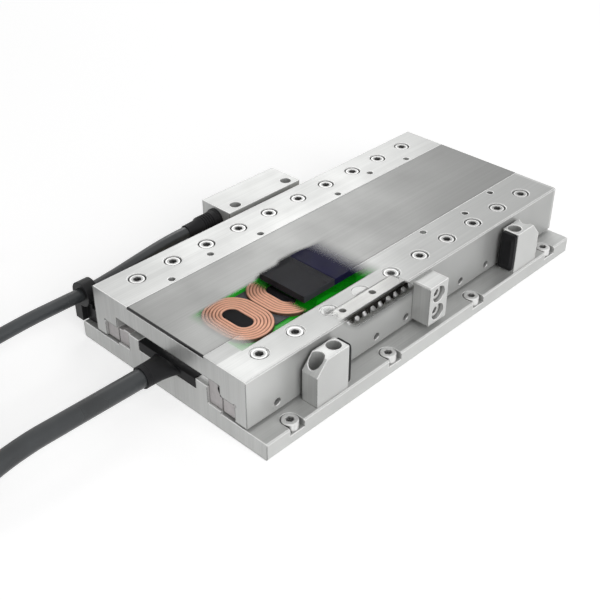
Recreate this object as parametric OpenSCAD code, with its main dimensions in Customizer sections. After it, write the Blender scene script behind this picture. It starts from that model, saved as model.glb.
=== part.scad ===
// Low-profile linear motor stage on crossed-roller rails.
// X is the travel, +Y is the encoder side, +Z is up; the origin is the centre of the mounting face.

/* [Stage] */
// Length of the base and of the carriage along the travel
stage_length = 160; // [150:1:200]
// Height of the carriage top above the mounting face
stage_height = 24.4; // [23.5:0.1:30]
// Width of the carriage
carriage_width = 71.5; // [70:0.5:90]
// Width of each base flange beside the carriage
flange_w = 8.25; // [7.5:0.25:12]
// Thickness of the base plate at its flanges
base_h = 6.2; // [5.5:0.1:7]
// Gap between the base flange and the carriage walls
wall_gap = 0.9; // [0.6:0.1:1.2]
// Small bevel on the long machined edges
edge_bevel = 0.4; // [0.2:0.1:0.8]

/* [Carriage] */
// Thickness of the carriage side walls
wall_t = 5; // [4.2:0.1:6]
// Width of the shoulder that carries each outer rail, from the side face
shoulder_w = 11.3; // [11:0.1:12]
// Height of the open space between the rail shoulders and the plate underside
plate_recess = 3.95; // [3:0.05:5]
// Distance of the rail screw rows from the side faces
screw_inset = 7.3; // [7:0.1:8]
// Width of the inlaid centre cover
cover_w = 35.7; // [30:0.5:38]
// Thickness of the centre cover
cover_t = 0.9; // [0.6:0.1:1.5]
// Square pitch of the payload thread grid
grid_pitch = 40; // [36:1:42]
// Distance from the centre of the outer payload thread pairs along the travel
pair_x = 41; // [36:1:50]
// Half spacing of the outer payload thread pairs across the travel
pair_y = 22.5; // [21.5:0.25:22.5]
// Depth of the payload threads
thread_depth = 6; // [4:0.5:6.5]

/* [Rails] */
// Length of the end blocks beyond the rails
rail_end_l = 4.2; // [3:0.1:5]
// Width of one rail
rail_w = 5.5; // [5:0.1:6]
// Height of one rail
rail_h = 6; // [5.5:0.1:7]
// Gap between the two rails of a pair
rail_gap = 1; // [0.9:0.05:1.2]
// Pitch of the rail screws
rail_pitch = 15; // [14:0.5:16]
// Least distance of the end screws from the rail ends
rail_screw_margin = 5; // [4:0.5:7]
// Diameter of the crossed rollers
roller_d = 2; // [1.8:0.05:2.1]
// Pitch of the crossed rollers
roller_pitch = 4; // [3.5:0.1:5]
// Number of rollers in each cage
rollers = 25; // [15:2:27]
// Thickness of the roller cage
cage_t = 0.4; // [0.2:0.05:0.5]
// Height of the roller cage
cage_h = 4.6; // [3.8:0.1:5]

/* [Motor] */
// Width of the motor slot in the base block
slot_w = 27.2; // [26.6:0.1:30]
// Height of the motor slot floor above the mounting face
slot_z = 9.8; // [9:0.1:11]
// Height of the base block above the flanges
block_h = 7.4; // [7:0.1:7.6]
// Thickness of the green coil board
board_t = 1.2; // [0.8:0.1:1.6]
// Margin of the green coil board beyond the end coils
board_margin = 2.5; // [1:0.1:5]
// Pitch of the coils
coil_pitch = 20; // [20:0.5:21]
// Outer radius of the coil ends
coil_r = 9.9; // [8:0.1:9.9]
// Radius of the coil core ends
core_r = 3; // [2.5:0.1:4]
// Straight length of each coil
coil_straight = 6; // [4:0.5:6.5]
// Thickness of the coils
coil_t = 1.5; // [1:0.1:1.6]
// Number of visible winding ridges in each coil
coil_ridges = 6; // [3:1:8]
// Pitch of the magnets
magnet_pitch = 15; // [14:0.5:16]
// Length of a magnet across the travel
magnet_w = 21.2; // [18:0.2:24]
// Thickness of a magnet
magnet_t = 2.5; // [2:0.1:2.6]
// Thickness of the steel yoke above the magnets
yoke_t = 2; // [1:0.1:3]

/* [Flange fittings] */
// Distance of the end mounting screws from the ends of the base
flange_end = 12.5; // [12.5:0.1:14]
// Distance of the mounting screws from the flange edge
flange_inset = 3.15; // [3:0.05:4]
// Height of the screw seats in the flange notches
notch_z = 3.5; // [2.5:0.1:4]
// Distance of the stop blocks from the ends of the base
stop_inset = 21.6; // [20:0.1:24]
// Length of each stop block
stop_l = 13.9; // [13:0.1:16]
// Width of each stop block
stop_w = 6.25; // [6:0.05:7]
// Height of the stop blocks above the flange
stop_h = 16.1; // [12:0.1:17]
// Height of the slope at the outer end of each stop
slope_h = 4.9; // [2:0.1:6]
// Length of the slope at the outer end of each stop
slope_l = 4.4; // [2:0.1:5]
// Thickness of the rubber bumpers
bumper_t = 1.9; // [1:0.1:3]
// Width of the stop block on the carriage along the travel
dog_l = 9.4; // [9:0.1:12]
// Projection of the stop block from the carriage side
dog_w = 7.1; // [6:0.1:7.5]
// Height of the stop block on the carriage
dog_h = 14.9; // [14:0.1:15.5]

/* [Encoder] */
// Length of the encoder box
encoder_l = 36; // [34:0.5:36]
// Width of the encoder box
encoder_w = 14.7; // [12:0.1:18]
// Gap between the encoder box and the carriage side
encoder_gap = 2.3; // [2:0.1:2.5]
// Thickness of the encoder scale on the carriage side
scale_t = 0.5; // [0.3:0.1:0.8]

/* [Cables] */
// Diameter of the motor cable
motor_cable_d = 6.3; // [5.5:0.1:7]
// Diameter of the encoder cable
encoder_cable_d = 4.6; // [4:0.1:4.8]

/* [Hidden] */

$fn = 48;
eps = 0.01;

// Heights that everything seats on.
seat_z = base_h + wall_gap;
shoulder_z = seat_z + rail_h;
underside_z = shoulder_z + plate_recess;
block_z = base_h + block_h;
rail_mid_z = seat_z + rail_h / 2;

// Places across the travel.
half_carriage = carriage_width / 2;
half_base = half_carriage + flange_w;
rail_back_outer = half_carriage - wall_t;
rail_mid_y = rail_back_outer - rail_w - rail_gap / 2;
rail_back_inner = rail_back_outer - 2 * rail_w - rail_gap;
shoulder_y = half_carriage - shoulder_w;
outer_screw_y = half_carriage - screw_inset;
rail_hole_inset = screw_inset - wall_t;
inner_screw_y = rail_back_inner + rail_hole_inset;
seat_edge_y = rail_mid_y - 0.25;
rail_end_inset = 0.8;
rail_length = stage_length - 2 * (rail_end_l + rail_end_inset);
rail_screws = floor((rail_length - 2 * rail_screw_margin) / rail_pitch) + 1;
first_rail_screw = -rail_pitch * (rail_screws - 1) / 2;

// Metric socket head screws: shank, head, socket, counterbore, clearance hole and thread radii.
thread_play = 0.05;
head_bevel = 0.3;
bore_bevel = 0.2;
m3_r = 1.5;
m3_head_r = 2.75;
m3_head_h = 3;
m3_socket_r = 1.45;
m3_socket_depth = 1.5;
m3_bore_r = 3;
m3_clear_r = 1.65;
m3_tap_r = 1.25;
m3_thread_r = m3_tap_r - thread_play;
m25_tap_r = 1.1;
m25_thread_r = m25_tap_r - thread_play;
m25_head_r = 2.25;
m25_head_h = 2.5;
m25_socket_r = 1.15;
m25_bore_r = 2.45;
m25_clear_r = 1.35;
m2_tap_r = 0.85;
m2_thread_r = m2_tap_r - thread_play;
m2_head_r = 1.9;
m2_head_h = 2;
m2_socket_r = 0.87;
m2_socket_depth = 1;
m2_bore_r = 2.1;
m2_clear_r = 1.15;
socket_sides = 6;
rail_head_recess = 0.3;
under_seat_z = m3_head_h + 0.3;
mount_screw_end_z = 0.3;

// Ends of the rails.
front_relief_r = 2.3;
rear_relief_r = 2.5;
front_relief_y = half_carriage - 10.6;
rear_relief_y = half_carriage - 11.8;
end_relief_z = shoulder_z + 1.8;
tall_end_h = rail_h + plate_recess - 0.45;
corner_relief_r = 0.45;
end_gap = 0.15;

// Crossed-roller grooves.
groove_fit = 0.05;
groove_reach = sqrt(2) * (roller_d / 2 + groove_fit);
groove_mouth = groove_reach - rail_gap / 2;
groove_slot = 0.3;
groove_slot_depth = 0.4;
roller_l = roller_d - 0.1;
cage_end = 2;
cage_length = roller_pitch * (rollers - 1) + 2 * cage_end;

// Motor stack.
motor_fit = 0.1;
board_z = slot_z + 1.4;
coil_z = board_z + board_t;
carrier_t = 0.5;
carrier_w = 21;
coil_count = 6;
board_length = (coil_count - 1) * coil_pitch + 2 * (coil_r + board_margin);
ridge_h = 0.3;
motor_end_z = block_z - 0.1;
magnet_fit = 0.2;
magnet_z = underside_z - magnet_t;
magnet_count = 4;
yoke_length = magnet_pitch * magnet_count + 4;
yoke_w = magnet_w + 2;

// Flange fittings.
flange_screw_y = half_base - flange_inset;
flange_screws_per_side = 4;
flange_pitch = (stage_length - 2 * flange_end) / (flange_screws_per_side - 1);
stop_x = stage_length / 2 - stop_inset - stop_l;
stop_gap = 1.25;
stop_y = half_carriage + stop_gap;
stop_screw_y = stop_y + m25_bore_r + 0.2;
stop_screw_near = 3;
stop_screw_far = 10.4;
stop_head_z = base_h + 3.2;
small_screw_root_z = 1.4;
bumper_lift = 1.1;
bumper_top_drop = 0.3;
bumper_bevel = 0.7;
dog_z = 8.1;
dog_bevel = 0.5;
dog_screw_z = [11.95, 18.9];
dog_recess = 1.3;

// Encoder.
encoder_y = half_carriage + encoder_gap;
encoder_head_l = 16;
encoder_head_h = 6;
encoder_head_reach = 1.1;
encoder_head_z = 17;
encoder_screw_x = [-12.1, 13.9];
encoder_screw_y = encoder_y + 3.3;
encoder_head_seat_z = base_h + 4;
scale_h = 5;
scale_length = 120;
grommet_y = half_carriage + 9.85;
grommet_z = 19.4;
grommet_r = 4;
grommet_flange_t = 1.4;
grommet_boot_l = 13;

// Cable clip on the rear left corner of the base.
clip_y = half_carriage + 7.75;
clip_z = 17;
clip_wall = 2.1;
clip_w = 4.6;
clip_foot_l = 7;
clip_foot_inset = 2;
clip_foot_h = 5.6;
clip_web_t = 3.2;
clip_web_h = 8.6;
clip_screw_x = 6.4;
clip_screw_y = half_carriage + 3.1;
clip_seat_h = 3;

// Cables: diameter steps, routes and the coils of the spare length.
cable_sides = 10;
motor_ring_r = 31.5;
encoder_ring_r = 23;
encoder_entry_angle = 205;
turn_squash = 0.98;
relief_l = 10;
relief_collar_r = 3.75;
relief_root_w = 6.4;
relief_root_h = 1.9;
relief_steps = 6;
relief_z = 12;
motor_route = [
    [-90, 0, 12], [-104, 0, 12], [-118, 0, 12], [-130, 0, 11.8], [-140, 0, 10.4],
    [-148, 0, 8.2], [-155, 0, 6], [-161, 0, 4.3], [-166, 0, 3.35], [-170, 0, 3.15]
];
motor_tail = [
    [-201.5, 34.65, 8.6], [-201.5, 41.65, 9], [-201.5, 48.65, 9.5], [-201.5, 54.65, 9.1],
    [-201.5, 59.65, 8.3], [-201.5, 65.65, 7.25], [-201.5, 71.65, 6.5], [-201.5, 74.65, 6.4],
    [-201.5, 76.65, 6.4]
];
// The encoder cable's places across the travel count from the carriage side.
encoder_route = [
    [-32.4, 9.85, 19.4], [-34, 9.85, 19.4], [-43, 9.65, 19.1], [-54, 9.05, 18.3],
    [-66, 8.25, 17.4], [-75, 7.75, 17],
    [-87, 7.75, 17], [-100, 7.75, 17], [-110, 7.75, 16.5], [-119.4, 8.95, 15], [-128.1, 12.55, 12.4],
    [-135.4, 18.45, 9.6], [-139.3, 23.45, 7.5], [-142.5, 28.75, 5.3], [-145.4, 34.15, 3.5],
    [-148.1, 39.95, 2.5]
];
encoder_tail = [
    [-125.2, 73.65, 6.35], [-119.7, 73.65, 6.65], [-114.2, 73.65, 7], [-110.7, 73.65, 6.65],
    [-107.7, 73.65, 6], [-104.7, 73.65, 5.35], [-102.2, 73.65, 5], [-100.7, 73.65, 5]
];
motor_plug_r = 6.4;
motor_plug_l = 28;
encoder_plug_r = 5;
encoder_plug_l = 22;

// Copies a shape to both sides of the stage; the rear one is the plain copy.
module both_sides() {
    children();
    mirror([0, 1, 0]) children();
}

// Puts a shape at each screw place of a rail.
module at_rail_screws() {
    for (i = [0:rail_screws - 1])
        translate([first_rail_screw + i * rail_pitch, 0, 0]) children();
}

// Puts a shape at each mounting screw of one flange.
module at_flange_screws() {
    for (i = [0:flange_screws_per_side - 1])
        translate([(i - (flange_screws_per_side - 1) / 2) * flange_pitch, 0, 0]) children();
}

// A bar along X with the given outline in Y and Z.
module bar(length, outline) {
    translate([-length / 2, 0, 0]) rotate([90, 0, 90]) linear_extrude(length) polygon(outline);
}

// A cylinder along X that starts at the origin.
module rod_x(r, length) {
    rotate([0, 90, 0]) cylinder(r = r, h = length);
}

// A socket head screw that points down from the underside of its head.
module cap_screw(shank_r, length, head_r, head_h, socket_r, socket_depth) {
    translate([0, 0, -length]) cylinder(r = shank_r, h = length);
    difference() {
        rotate_extrude() polygon([
            [0, 0], [head_r, 0], [head_r, head_h - head_bevel],
            [head_r - head_bevel, head_h], [0, head_h]
        ]);
        translate([0, 0, head_h - socket_depth])
            cylinder(r = socket_r, h = socket_depth + eps, $fn = socket_sides);
    }
}

module m3_screw(length) {
    cap_screw(m3_r, length, m3_head_r, m3_head_h, m3_socket_r, m3_socket_depth);
}

module m25_screw(length) {
    cap_screw(m25_thread_r, length, m25_head_r, m25_head_h, m25_socket_r, m3_socket_depth);
}

module m2_screw(length) {
    cap_screw(m2_thread_r, length, m2_head_r, m2_head_h, m2_socket_r, m2_socket_depth);
}

// ---------------------------------------------------------------- base

base_outline = [
    [-half_base, edge_bevel], [-half_base + edge_bevel, 0],
    [half_base - edge_bevel, 0], [half_base, edge_bevel],
    [half_base, base_h - edge_bevel], [half_base - edge_bevel, base_h],
    [seat_edge_y, base_h], [seat_edge_y, seat_z],
    [rail_back_inner, seat_z], [rail_back_inner, block_z - edge_bevel],
    [rail_back_inner - edge_bevel, block_z], [slot_w / 2, block_z], [slot_w / 2, slot_z],
    [-slot_w / 2, slot_z], [-slot_w / 2, block_z],
    [-rail_back_inner + edge_bevel, block_z], [-rail_back_inner, block_z - edge_bevel],
    [-rail_back_inner, seat_z],
    [-seat_edge_y, seat_z], [-seat_edge_y, base_h],
    [-half_base + edge_bevel, base_h], [-half_base, base_h - edge_bevel]
];

// Socket for one mounting screw: a notch open to the flange edge and a clearance hole.
module flange_notch() {
    translate([0, flange_screw_y, notch_z]) cylinder(r = m3_bore_r, h = base_h);
    translate([-m3_bore_r, flange_screw_y, notch_z]) cube([2 * m3_bore_r, flange_inset + 1, base_h]);
    translate([0, flange_screw_y, -1]) cylinder(r = m3_clear_r, h = base_h);
}

module base_plate() {
    color("gainsboro")
    difference() {
        bar(stage_length, base_outline);
        both_sides() at_flange_screws() flange_notch();
        both_sides() at_rail_screws() {
            translate([0, inner_screw_y, -1]) cylinder(r = m3_bore_r, h = under_seat_z + 1);
            translate([0, inner_screw_y, -1]) cylinder(r = m3_clear_r, h = seat_z + 2);
        }
        for (x = [stop_x + stop_screw_near, stop_x + stop_screw_far], side = [-1, 1])
            translate([side * x, -stop_screw_y, small_screw_root_z]) cylinder(r = m25_tap_r, h = base_h);
        for (x = encoder_screw_x)
            translate([x, encoder_screw_y, small_screw_root_z]) cylinder(r = m2_tap_r, h = base_h);
        translate([-stage_length / 2 + clip_screw_x, clip_screw_y, small_screw_root_z])
            cylinder(r = m2_tap_r, h = base_h);
    }
}

// Cross-section of one rail with its back at y = 0 and its groove facing +y.
rail_outline = [
    [0, 0], [rail_w, 0],
    [rail_w, rail_h / 2 - groove_mouth],
    [rail_w - groove_mouth + groove_slot, rail_h / 2 - groove_slot],
    [rail_w - groove_mouth - groove_slot_depth, rail_h / 2 - groove_slot],
    [rail_w - groove_mouth - groove_slot_depth, rail_h / 2 + groove_slot],
    [rail_w - groove_mouth + groove_slot, rail_h / 2 + groove_slot],
    [rail_w, rail_h / 2 + groove_mouth],
    [rail_w, rail_h], [0, rail_h]
];

module rail(hole_r) {
    difference() {
        bar(rail_length, rail_outline);
        at_rail_screws() translate([0, rail_hole_inset, -1]) cylinder(r = hole_r, h = rail_h + 2);
    }
}

// Inner rail of the rear pair, seated against the base block.
module inner_rail() {
    color("lightsteelblue") translate([0, rail_back_inner, seat_z]) rail(m3_tap_r);
}

module inner_rail_rear() { inner_rail(); }

module inner_rail_front() { mirror([0, 1, 0]) inner_rail(); }

// Screws that hold the inner rails from below.
module inner_rail_screws() {
    color("dimgray")
    both_sides() at_rail_screws() translate([0, inner_screw_y, under_seat_z]) mirror([0, 0, 1])
        cap_screw(m3_thread_r, rail_mid_z - under_seat_z, m3_head_r, m3_head_h,
            m3_socket_r, m3_socket_depth);
}

// End blocks of the inner rails; the front ones stand up to close the gap below the plate.
module base_rail_end(height, relief_y, relief_r) {
    difference() {
        translate([rail_length / 2, rail_back_inner, seat_z])
            cube([rail_end_l, rail_mid_y - end_gap - rail_back_inner, height]);
        translate([rail_length / 2 - 1, relief_y, end_relief_z]) rod_x(relief_r, rail_end_l + 2);
    }
}

module base_rail_ends() {
    color("rosybrown")
    for (flip = [0, 1]) mirror([flip, 0, 0]) {
        base_rail_end(rail_h, rear_relief_y, rear_relief_r);
        mirror([0, 1, 0]) base_rail_end(tall_end_h, front_relief_y, front_relief_r);
    }
}

// ---------------------------------------------------------------- motor

module stadium(r, straight) {
    translate([0, straight / 2]) circle(r = r);
    translate([0, -straight / 2]) circle(r = r);
    translate([-r, -straight / 2]) square([2 * r, straight]);
}

module at_coils(list) {
    for (i = list) translate([(i - (coil_count - 1) / 2) * coil_pitch, 0, 0]) children();
}

// Black moulded tray in the motor slot, with solid ends.
module motor_body() {
    body_w = slot_w - 2 * motor_fit;
    color([0.06, 0.06, 0.06])
    difference() {
        translate([-stage_length / 2, -body_w / 2, slot_z])
            cube([stage_length, body_w, motor_end_z - slot_z]);
        translate([-board_length / 2, -body_w / 2 - 1, board_z]) cube([board_length, body_w + 2, block_h]);
    }
}

module coil_board() {
    board_w = slot_w - 2 * motor_fit;
    color([0.05, 0.5, 0.1])
    translate([-board_length / 2, -board_w / 2, board_z]) cube([board_length, board_w, board_t]);
}

// Dark carrier plate that fills the corners between the coils.
module coil_carrier() {
    carrier_l = (coil_count - 1) * coil_pitch;
    color([0.28, 0.29, 0.3])
    translate([0, 0, coil_z]) linear_extrude(carrier_t) difference() {
        square([carrier_l, carrier_w], center = true);
        at_coils([0:coil_count - 1]) stadium(coil_r + motor_fit, coil_straight);
    }
}

module coil_cores() {
    color([0.1, 0.1, 0.1])
    translate([0, 0, coil_z]) at_coils([0:coil_count - 1])
        linear_extrude(coil_t - ridge_h) stadium(core_r - motor_fit, coil_straight);
}

// One flat racetrack coil with a ridge for each visible layer of wire.
module coil() {
    ridge_pitch = (coil_r - core_r) / coil_ridges;
    linear_extrude(coil_t - ridge_h) difference() {
        stadium(coil_r, coil_straight);
        stadium(core_r, coil_straight);
    }
    for (i = [0:coil_ridges - 1])
        linear_extrude(coil_t) difference() {
            stadium(core_r + (i + 0.85) * ridge_pitch, coil_straight);
            stadium(core_r + (i + 0.15) * ridge_pitch, coil_straight);
        }
}

module coil_phase(first) {
    color([0.78, 0.5, 0.38])
    translate([0, 0, coil_z]) at_coils([first, first + coil_count / 2]) coil();
}

module coils_u() { coil_phase(0); }

module coils_v() { coil_phase(1); }

module coils_w() { coil_phase(2); }

// Flared relief: half width and half height shrink from the motor end to a round collar.
function relief_w(t) = relief_collar_r + (relief_root_w - relief_collar_r) * pow(1 - t, 2.4);
function relief_h(t) = relief_collar_r + (relief_root_h - relief_collar_r) * pow(1 - t, 2.4);

module relief_slice(t) {
    root_z = (slot_z + motor_end_z) / 2;
    translate([-stage_length / 2 - t * (relief_l - eps), 0, root_z + (relief_z - root_z) * min(1, 2 * t)])
        rotate([0, -90, 0]) linear_extrude(eps)
            scale([relief_h(t), relief_w(t)]) circle(r = 1, $fn = 32);
}

module motor_strain_relief() {
    color([0.12, 0.12, 0.12])
    for (i = [0:relief_steps - 1])
        hull() {
            relief_slice(i / relief_steps);
            relief_slice((i + 1) / relief_steps);
        }
}

// ---------------------------------------------------------------- cables

function unit(v) = v / norm(v);
function heading(route, i) =
    unit(route[min(i + 1, len(route) - 1)] - route[max(i - 1, 0)]);
function ring(centre, along, r, n) =
    let (side = unit(cross([0, 0, 1], along)), lift = cross(along, side))
    [for (k = [0:n - 1]) centre + r * (cos(360 * k / n) * side + sin(360 * k / n) * lift)];

function beside_carriage(route) = [for (place = route) place + [0, half_carriage, 0]];

// A round tube of the given radius swept along a route.
module tube(route, r) {
    n = cable_sides;
    last = len(route) - 1;
    points = [for (i = [0:last]) each ring(route[i], heading(route, i), r, n)];
    walls = [for (i = [0:last - 1], k = [0:n - 1])
        [i * n + k, (i + 1) * n + k, (i + 1) * n + (k + 1) % n, i * n + (k + 1) % n]];
    ends = [[for (k = [0:n - 1]) k], [for (k = [n - 1:-1:0]) last * n + k]];
    polyhedron(points = points, faces = concat(walls, ends));
}

// Outer shape of a neat coil of spare cable on the bench: two turns side by side, one in the valley.
module cable_ring(centre, r, cable_r) {
    turns = [
        [r - cable_r * turn_squash, cable_r], [r + cable_r * turn_squash, cable_r],
        [r, cable_r * (1 + sqrt(3) * turn_squash)]
    ];
    translate([centre[0], centre[1], 0]) rotate_extrude($fn = 96) {
        for (turn = turns) translate(turn) circle(r = cable_r, $fn = 24);
        polygon(turns);
    }
}

// Round cable connector along +X: body, coupling nut and grip.
module plug(r, length) {
    rod_x(r * 0.7, length * 0.35);
    translate([length * 0.15, 0, 0]) rod_x(r * 0.85, length * 0.5);
    translate([length * 0.55, 0, 0]) rod_x(r, length * 0.3);
    translate([length * 0.85, 0, 0]) rod_x(r * 0.8, length * 0.15);
}

module motor_cable() {
    color([0.2, 0.21, 0.22]) {
        tube(motor_route, motor_cable_d / 2);
        tube(motor_tail, motor_cable_d / 2);
    }
}

module motor_cable_coil() {
    entry = motor_route[len(motor_route) - 1];
    color([0.2, 0.21, 0.22])
    cable_ring([entry[0], entry[1] + motor_ring_r + motor_cable_d / 2], motor_ring_r, motor_cable_d / 2);
}

module motor_connector() {
    color("silver") translate(motor_tail[len(motor_tail) - 1]) rotate([0, 0, 90])
        plug(motor_plug_r, motor_plug_l);
}

module encoder_cable() {
    color([0.12, 0.12, 0.12]) {
        tube(beside_carriage(encoder_route), encoder_cable_d / 2);
        tube(beside_carriage(encoder_tail), encoder_cable_d / 2);
    }
}

module encoder_cable_coil() {
    entry = beside_carriage(encoder_route)[len(encoder_route) - 1];
    outer_r = encoder_ring_r + encoder_cable_d / 2;
    color([0.12, 0.12, 0.12])
    cable_ring(
        [entry[0] - outer_r * cos(encoder_entry_angle), entry[1] - outer_r * sin(encoder_entry_angle)],
        encoder_ring_r, encoder_cable_d / 2
    );
}

module encoder_connector() {
    color("silver") translate(beside_carriage(encoder_tail)[len(encoder_tail) - 1])
        plug(encoder_plug_r, encoder_plug_l);
}

// Moulded clip: a ring around the encoder cable, a leg behind the base and a foot on the flange.
module cable_clip() {
    left = -stage_length / 2;
    ring_r = encoder_cable_d / 2 + clip_wall;
    web_y = half_base - clip_web_t;
    color([0.16, 0.16, 0.16])
    difference() {
        union() {
            translate([left, clip_y, clip_z]) rod_x(ring_r, clip_w);
            translate([left, half_base, base_h])
                cube([clip_w, clip_y + ring_r - half_base, clip_z - base_h]);
            translate([left + clip_foot_inset, web_y, base_h])
                cube([clip_w - clip_foot_inset, clip_web_t + eps, clip_web_h]);
            translate([left + clip_foot_inset, half_carriage + 0.5, base_h])
                cube([clip_foot_l, flange_w - 0.5 + eps, clip_foot_h]);
        }
        translate([left - 1, clip_y, clip_z]) rod_x(encoder_cable_d / 2, clip_w + 2);
        translate([left + clip_screw_x, clip_screw_y, base_h - 1])
            cylinder(r = m2_clear_r, h = clip_foot_h + 2);
        translate([left + clip_screw_x, clip_screw_y, base_h + clip_seat_h])
            cylinder(r = m2_bore_r, h = clip_foot_h);
    }
}

module cable_clip_screw() {
    color("silver") translate([-stage_length / 2 + clip_screw_x, clip_screw_y, base_h + clip_seat_h])
        m2_screw(base_h + clip_seat_h - small_screw_root_z - thread_play);
}

// ---------------------------------------------------------------- flange fittings

module flange_screws() {
    color("silver")
    both_sides() at_flange_screws()
        translate([0, flange_screw_y, notch_z]) m3_screw(notch_z - mount_screw_end_z);
}

// Right-hand stop block: flat top with a slope at its outer end and two deep counterbores.
module stop_block() {
    top = base_h + stop_h;
    color("gainsboro")
    difference() {
        translate([stop_x, -stop_y, 0]) rotate([90, 0, 0]) linear_extrude(stop_w) polygon([
            [0, base_h], [stop_l, base_h], [stop_l, top - slope_h],
            [stop_l - slope_l, top], [0, top]
        ]);
        for (x = [stop_screw_near, stop_screw_far]) translate([stop_x + x, -stop_screw_y, 0]) {
            cylinder(r = m25_clear_r, h = top + 1);
            translate([0, 0, stop_head_z]) cylinder(r = m25_bore_r, h = top);
        }
    }
}

module stop_screws() {
    color("silver")
    for (x = [stop_screw_near, stop_screw_far])
        translate([stop_x + x, -stop_screw_y, stop_head_z])
            m25_screw(stop_head_z - small_screw_root_z - thread_play);
}

// Rubber pad with a bulged face, on the inner end of a stop.
module bumper() {
    chord = stop_w - 0.2;
    bulge_r = (chord * chord / 4 + bumper_t * bumper_t) / (2 * bumper_t);
    pad_h = stop_h - bumper_lift - bumper_top_drop;
    color([0.08, 0.08, 0.08])
    translate([stop_x, -stop_y - stop_w / 2, base_h + bumper_lift]) intersection() {
        linear_extrude(pad_h) intersection() {
            translate([bulge_r - bumper_t, 0]) circle(r = bulge_r);
            translate([-bumper_t - 1, -chord / 2]) square([bumper_t + 1, chord]);
        }
        rotate([90, 0, 0]) linear_extrude(stop_w, center = true) polygon([
            [0, 0], [-bumper_t + bumper_bevel, 0], [-bumper_t, bumper_bevel],
            [-bumper_t, pad_h - bumper_bevel], [-bumper_t + bumper_bevel, pad_h], [0, pad_h]
        ]);
    }
}

module stop_right() { stop_block(); }

module stop_right_screws() { stop_screws(); }

module bumper_right() { bumper(); }

module stop_left() { mirror([1, 0, 0]) stop_block(); }

module stop_left_screws() { mirror([1, 0, 0]) stop_screws(); }

module bumper_left() { mirror([1, 0, 0]) bumper(); }

// ---------------------------------------------------------------- encoder

module encoder_box() {
    box_h = stage_height - base_h;
    color("gainsboro")
    difference() {
        translate([-encoder_l / 2, encoder_y, base_h]) cube([encoder_l, encoder_w, box_h]);
        translate([-encoder_head_l / 2, encoder_y - 1, encoder_head_z - encoder_head_h / 2])
            cube([encoder_head_l, 5, encoder_head_h]);
        for (x = encoder_screw_x) translate([x, encoder_screw_y, 0]) {
            cylinder(r = m2_clear_r, h = stage_height + 1);
            translate([0, 0, encoder_head_seat_z]) cylinder(r = m2_bore_r, h = stage_height);
        }
    }
}

module encoder_box_screws() {
    color("dimgray")
    for (x = encoder_screw_x)
        translate([x, encoder_screw_y, encoder_head_seat_z])
            m2_screw(encoder_head_seat_z - small_screw_root_z - thread_play);
}

// Reading head that looks at the scale through the front of the box.
module encoder_read_head() {
    color([0.1, 0.1, 0.12])
    translate([-encoder_head_l / 2, encoder_y - encoder_head_reach, encoder_head_z - encoder_head_h / 2])
        cube([encoder_head_l, 4 + encoder_head_reach, encoder_head_h]);
}

// Rubber boot on the left end of the encoder box.
module encoder_grommet() {
    r = encoder_cable_d / 2;
    boot_end = grommet_flange_t + grommet_boot_l;
    color([0.1, 0.1, 0.1])
    translate([-encoder_l / 2, grommet_y, grommet_z]) rotate([0, -90, 0]) rotate_extrude() polygon([
        [0, 0], [grommet_r, 0], [grommet_r, grommet_flange_t],
        [r + 1.2, grommet_flange_t + 1], [r + 1.1, boot_end * 0.6],
        [r + 0.5, boot_end * 0.65], [r + 0.4, boot_end], [0, boot_end]
    ]);
}

// ---------------------------------------------------------------- carriage

carriage_half_outline = [
    [half_carriage, seat_z], [half_carriage, stage_height - edge_bevel],
    [half_carriage - edge_bevel, stage_height],
    [cover_w / 2, stage_height], [cover_w / 2, stage_height - cover_t]
];
carriage_inner_outline = [
    [shoulder_y, underside_z], [shoulder_y, shoulder_z],
    [rail_back_outer, shoulder_z], [rail_back_outer, seat_z]
];

function flipped(points) = [for (i = [len(points) - 1:-1:0]) [-points[i][0], points[i][1]]];

module carriage() {
    color("gainsboro")
    difference() {
        bar(stage_length, concat(
            carriage_half_outline, flipped(carriage_half_outline),
            flipped(carriage_inner_outline), carriage_inner_outline
        ));
        both_sides() {
            translate([-stage_length / 2 - 1, rail_back_outer, shoulder_z])
                rod_x(corner_relief_r, stage_length + 2);
            at_rail_screws() translate([0, outer_screw_y, 0]) {
                cylinder(r = m3_clear_r, h = stage_height + 1);
                translate([0, 0, stage_height - m3_head_h - rail_head_recess])
                    cylinder(r = m3_bore_r, h = stage_height);
                translate([0, 0, stage_height - bore_bevel])
                    cylinder(r1 = m3_bore_r, r2 = m3_bore_r + 2 * bore_bevel, h = 2 * bore_bevel);
            }
            at_rail_screws() translate([0, half_carriage + 1, rail_mid_z])
                rotate([90, 0, 0]) cylinder(r = m3_tap_r, h = wall_t + 2);
            for (x = [-1.5, -0.5, 0.5, 1.5])
                translate([x * grid_pitch, grid_pitch / 2, stage_height - thread_depth])
                    cylinder(r = m3_tap_r, h = thread_depth + 1);
            for (side = [-1, 1])
                translate([side * pair_x, pair_y, stage_height - thread_depth])
                    cylinder(r = m3_tap_r, h = thread_depth + 1);
        }
        translate([-yoke_length / 2, -yoke_w / 2, underside_z - eps])
            cube([yoke_length, yoke_w, yoke_t + eps]);
        for (z = dog_screw_z) translate([0, -half_carriage - 1, z])
            rotate([-90, 0, 0]) cylinder(r = m3_tap_r, h = wall_t + 1);
    }
}

module centre_cover() {
    color([0.55, 0.55, 0.54])
    translate([-stage_length / 2, -cover_w / 2, stage_height - cover_t])
        cube([stage_length, cover_w, cover_t]);
}

// Outer rail of the rear pair, seated against the carriage wall and shoulder.
module outer_rail() {
    color("lightsteelblue") translate([0, rail_back_outer, seat_z]) mirror([0, 1, 0]) rail(m3_r);
}

module outer_rail_rear() { outer_rail(); }

module outer_rail_front() { mirror([0, 1, 0]) outer_rail(); }

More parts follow.
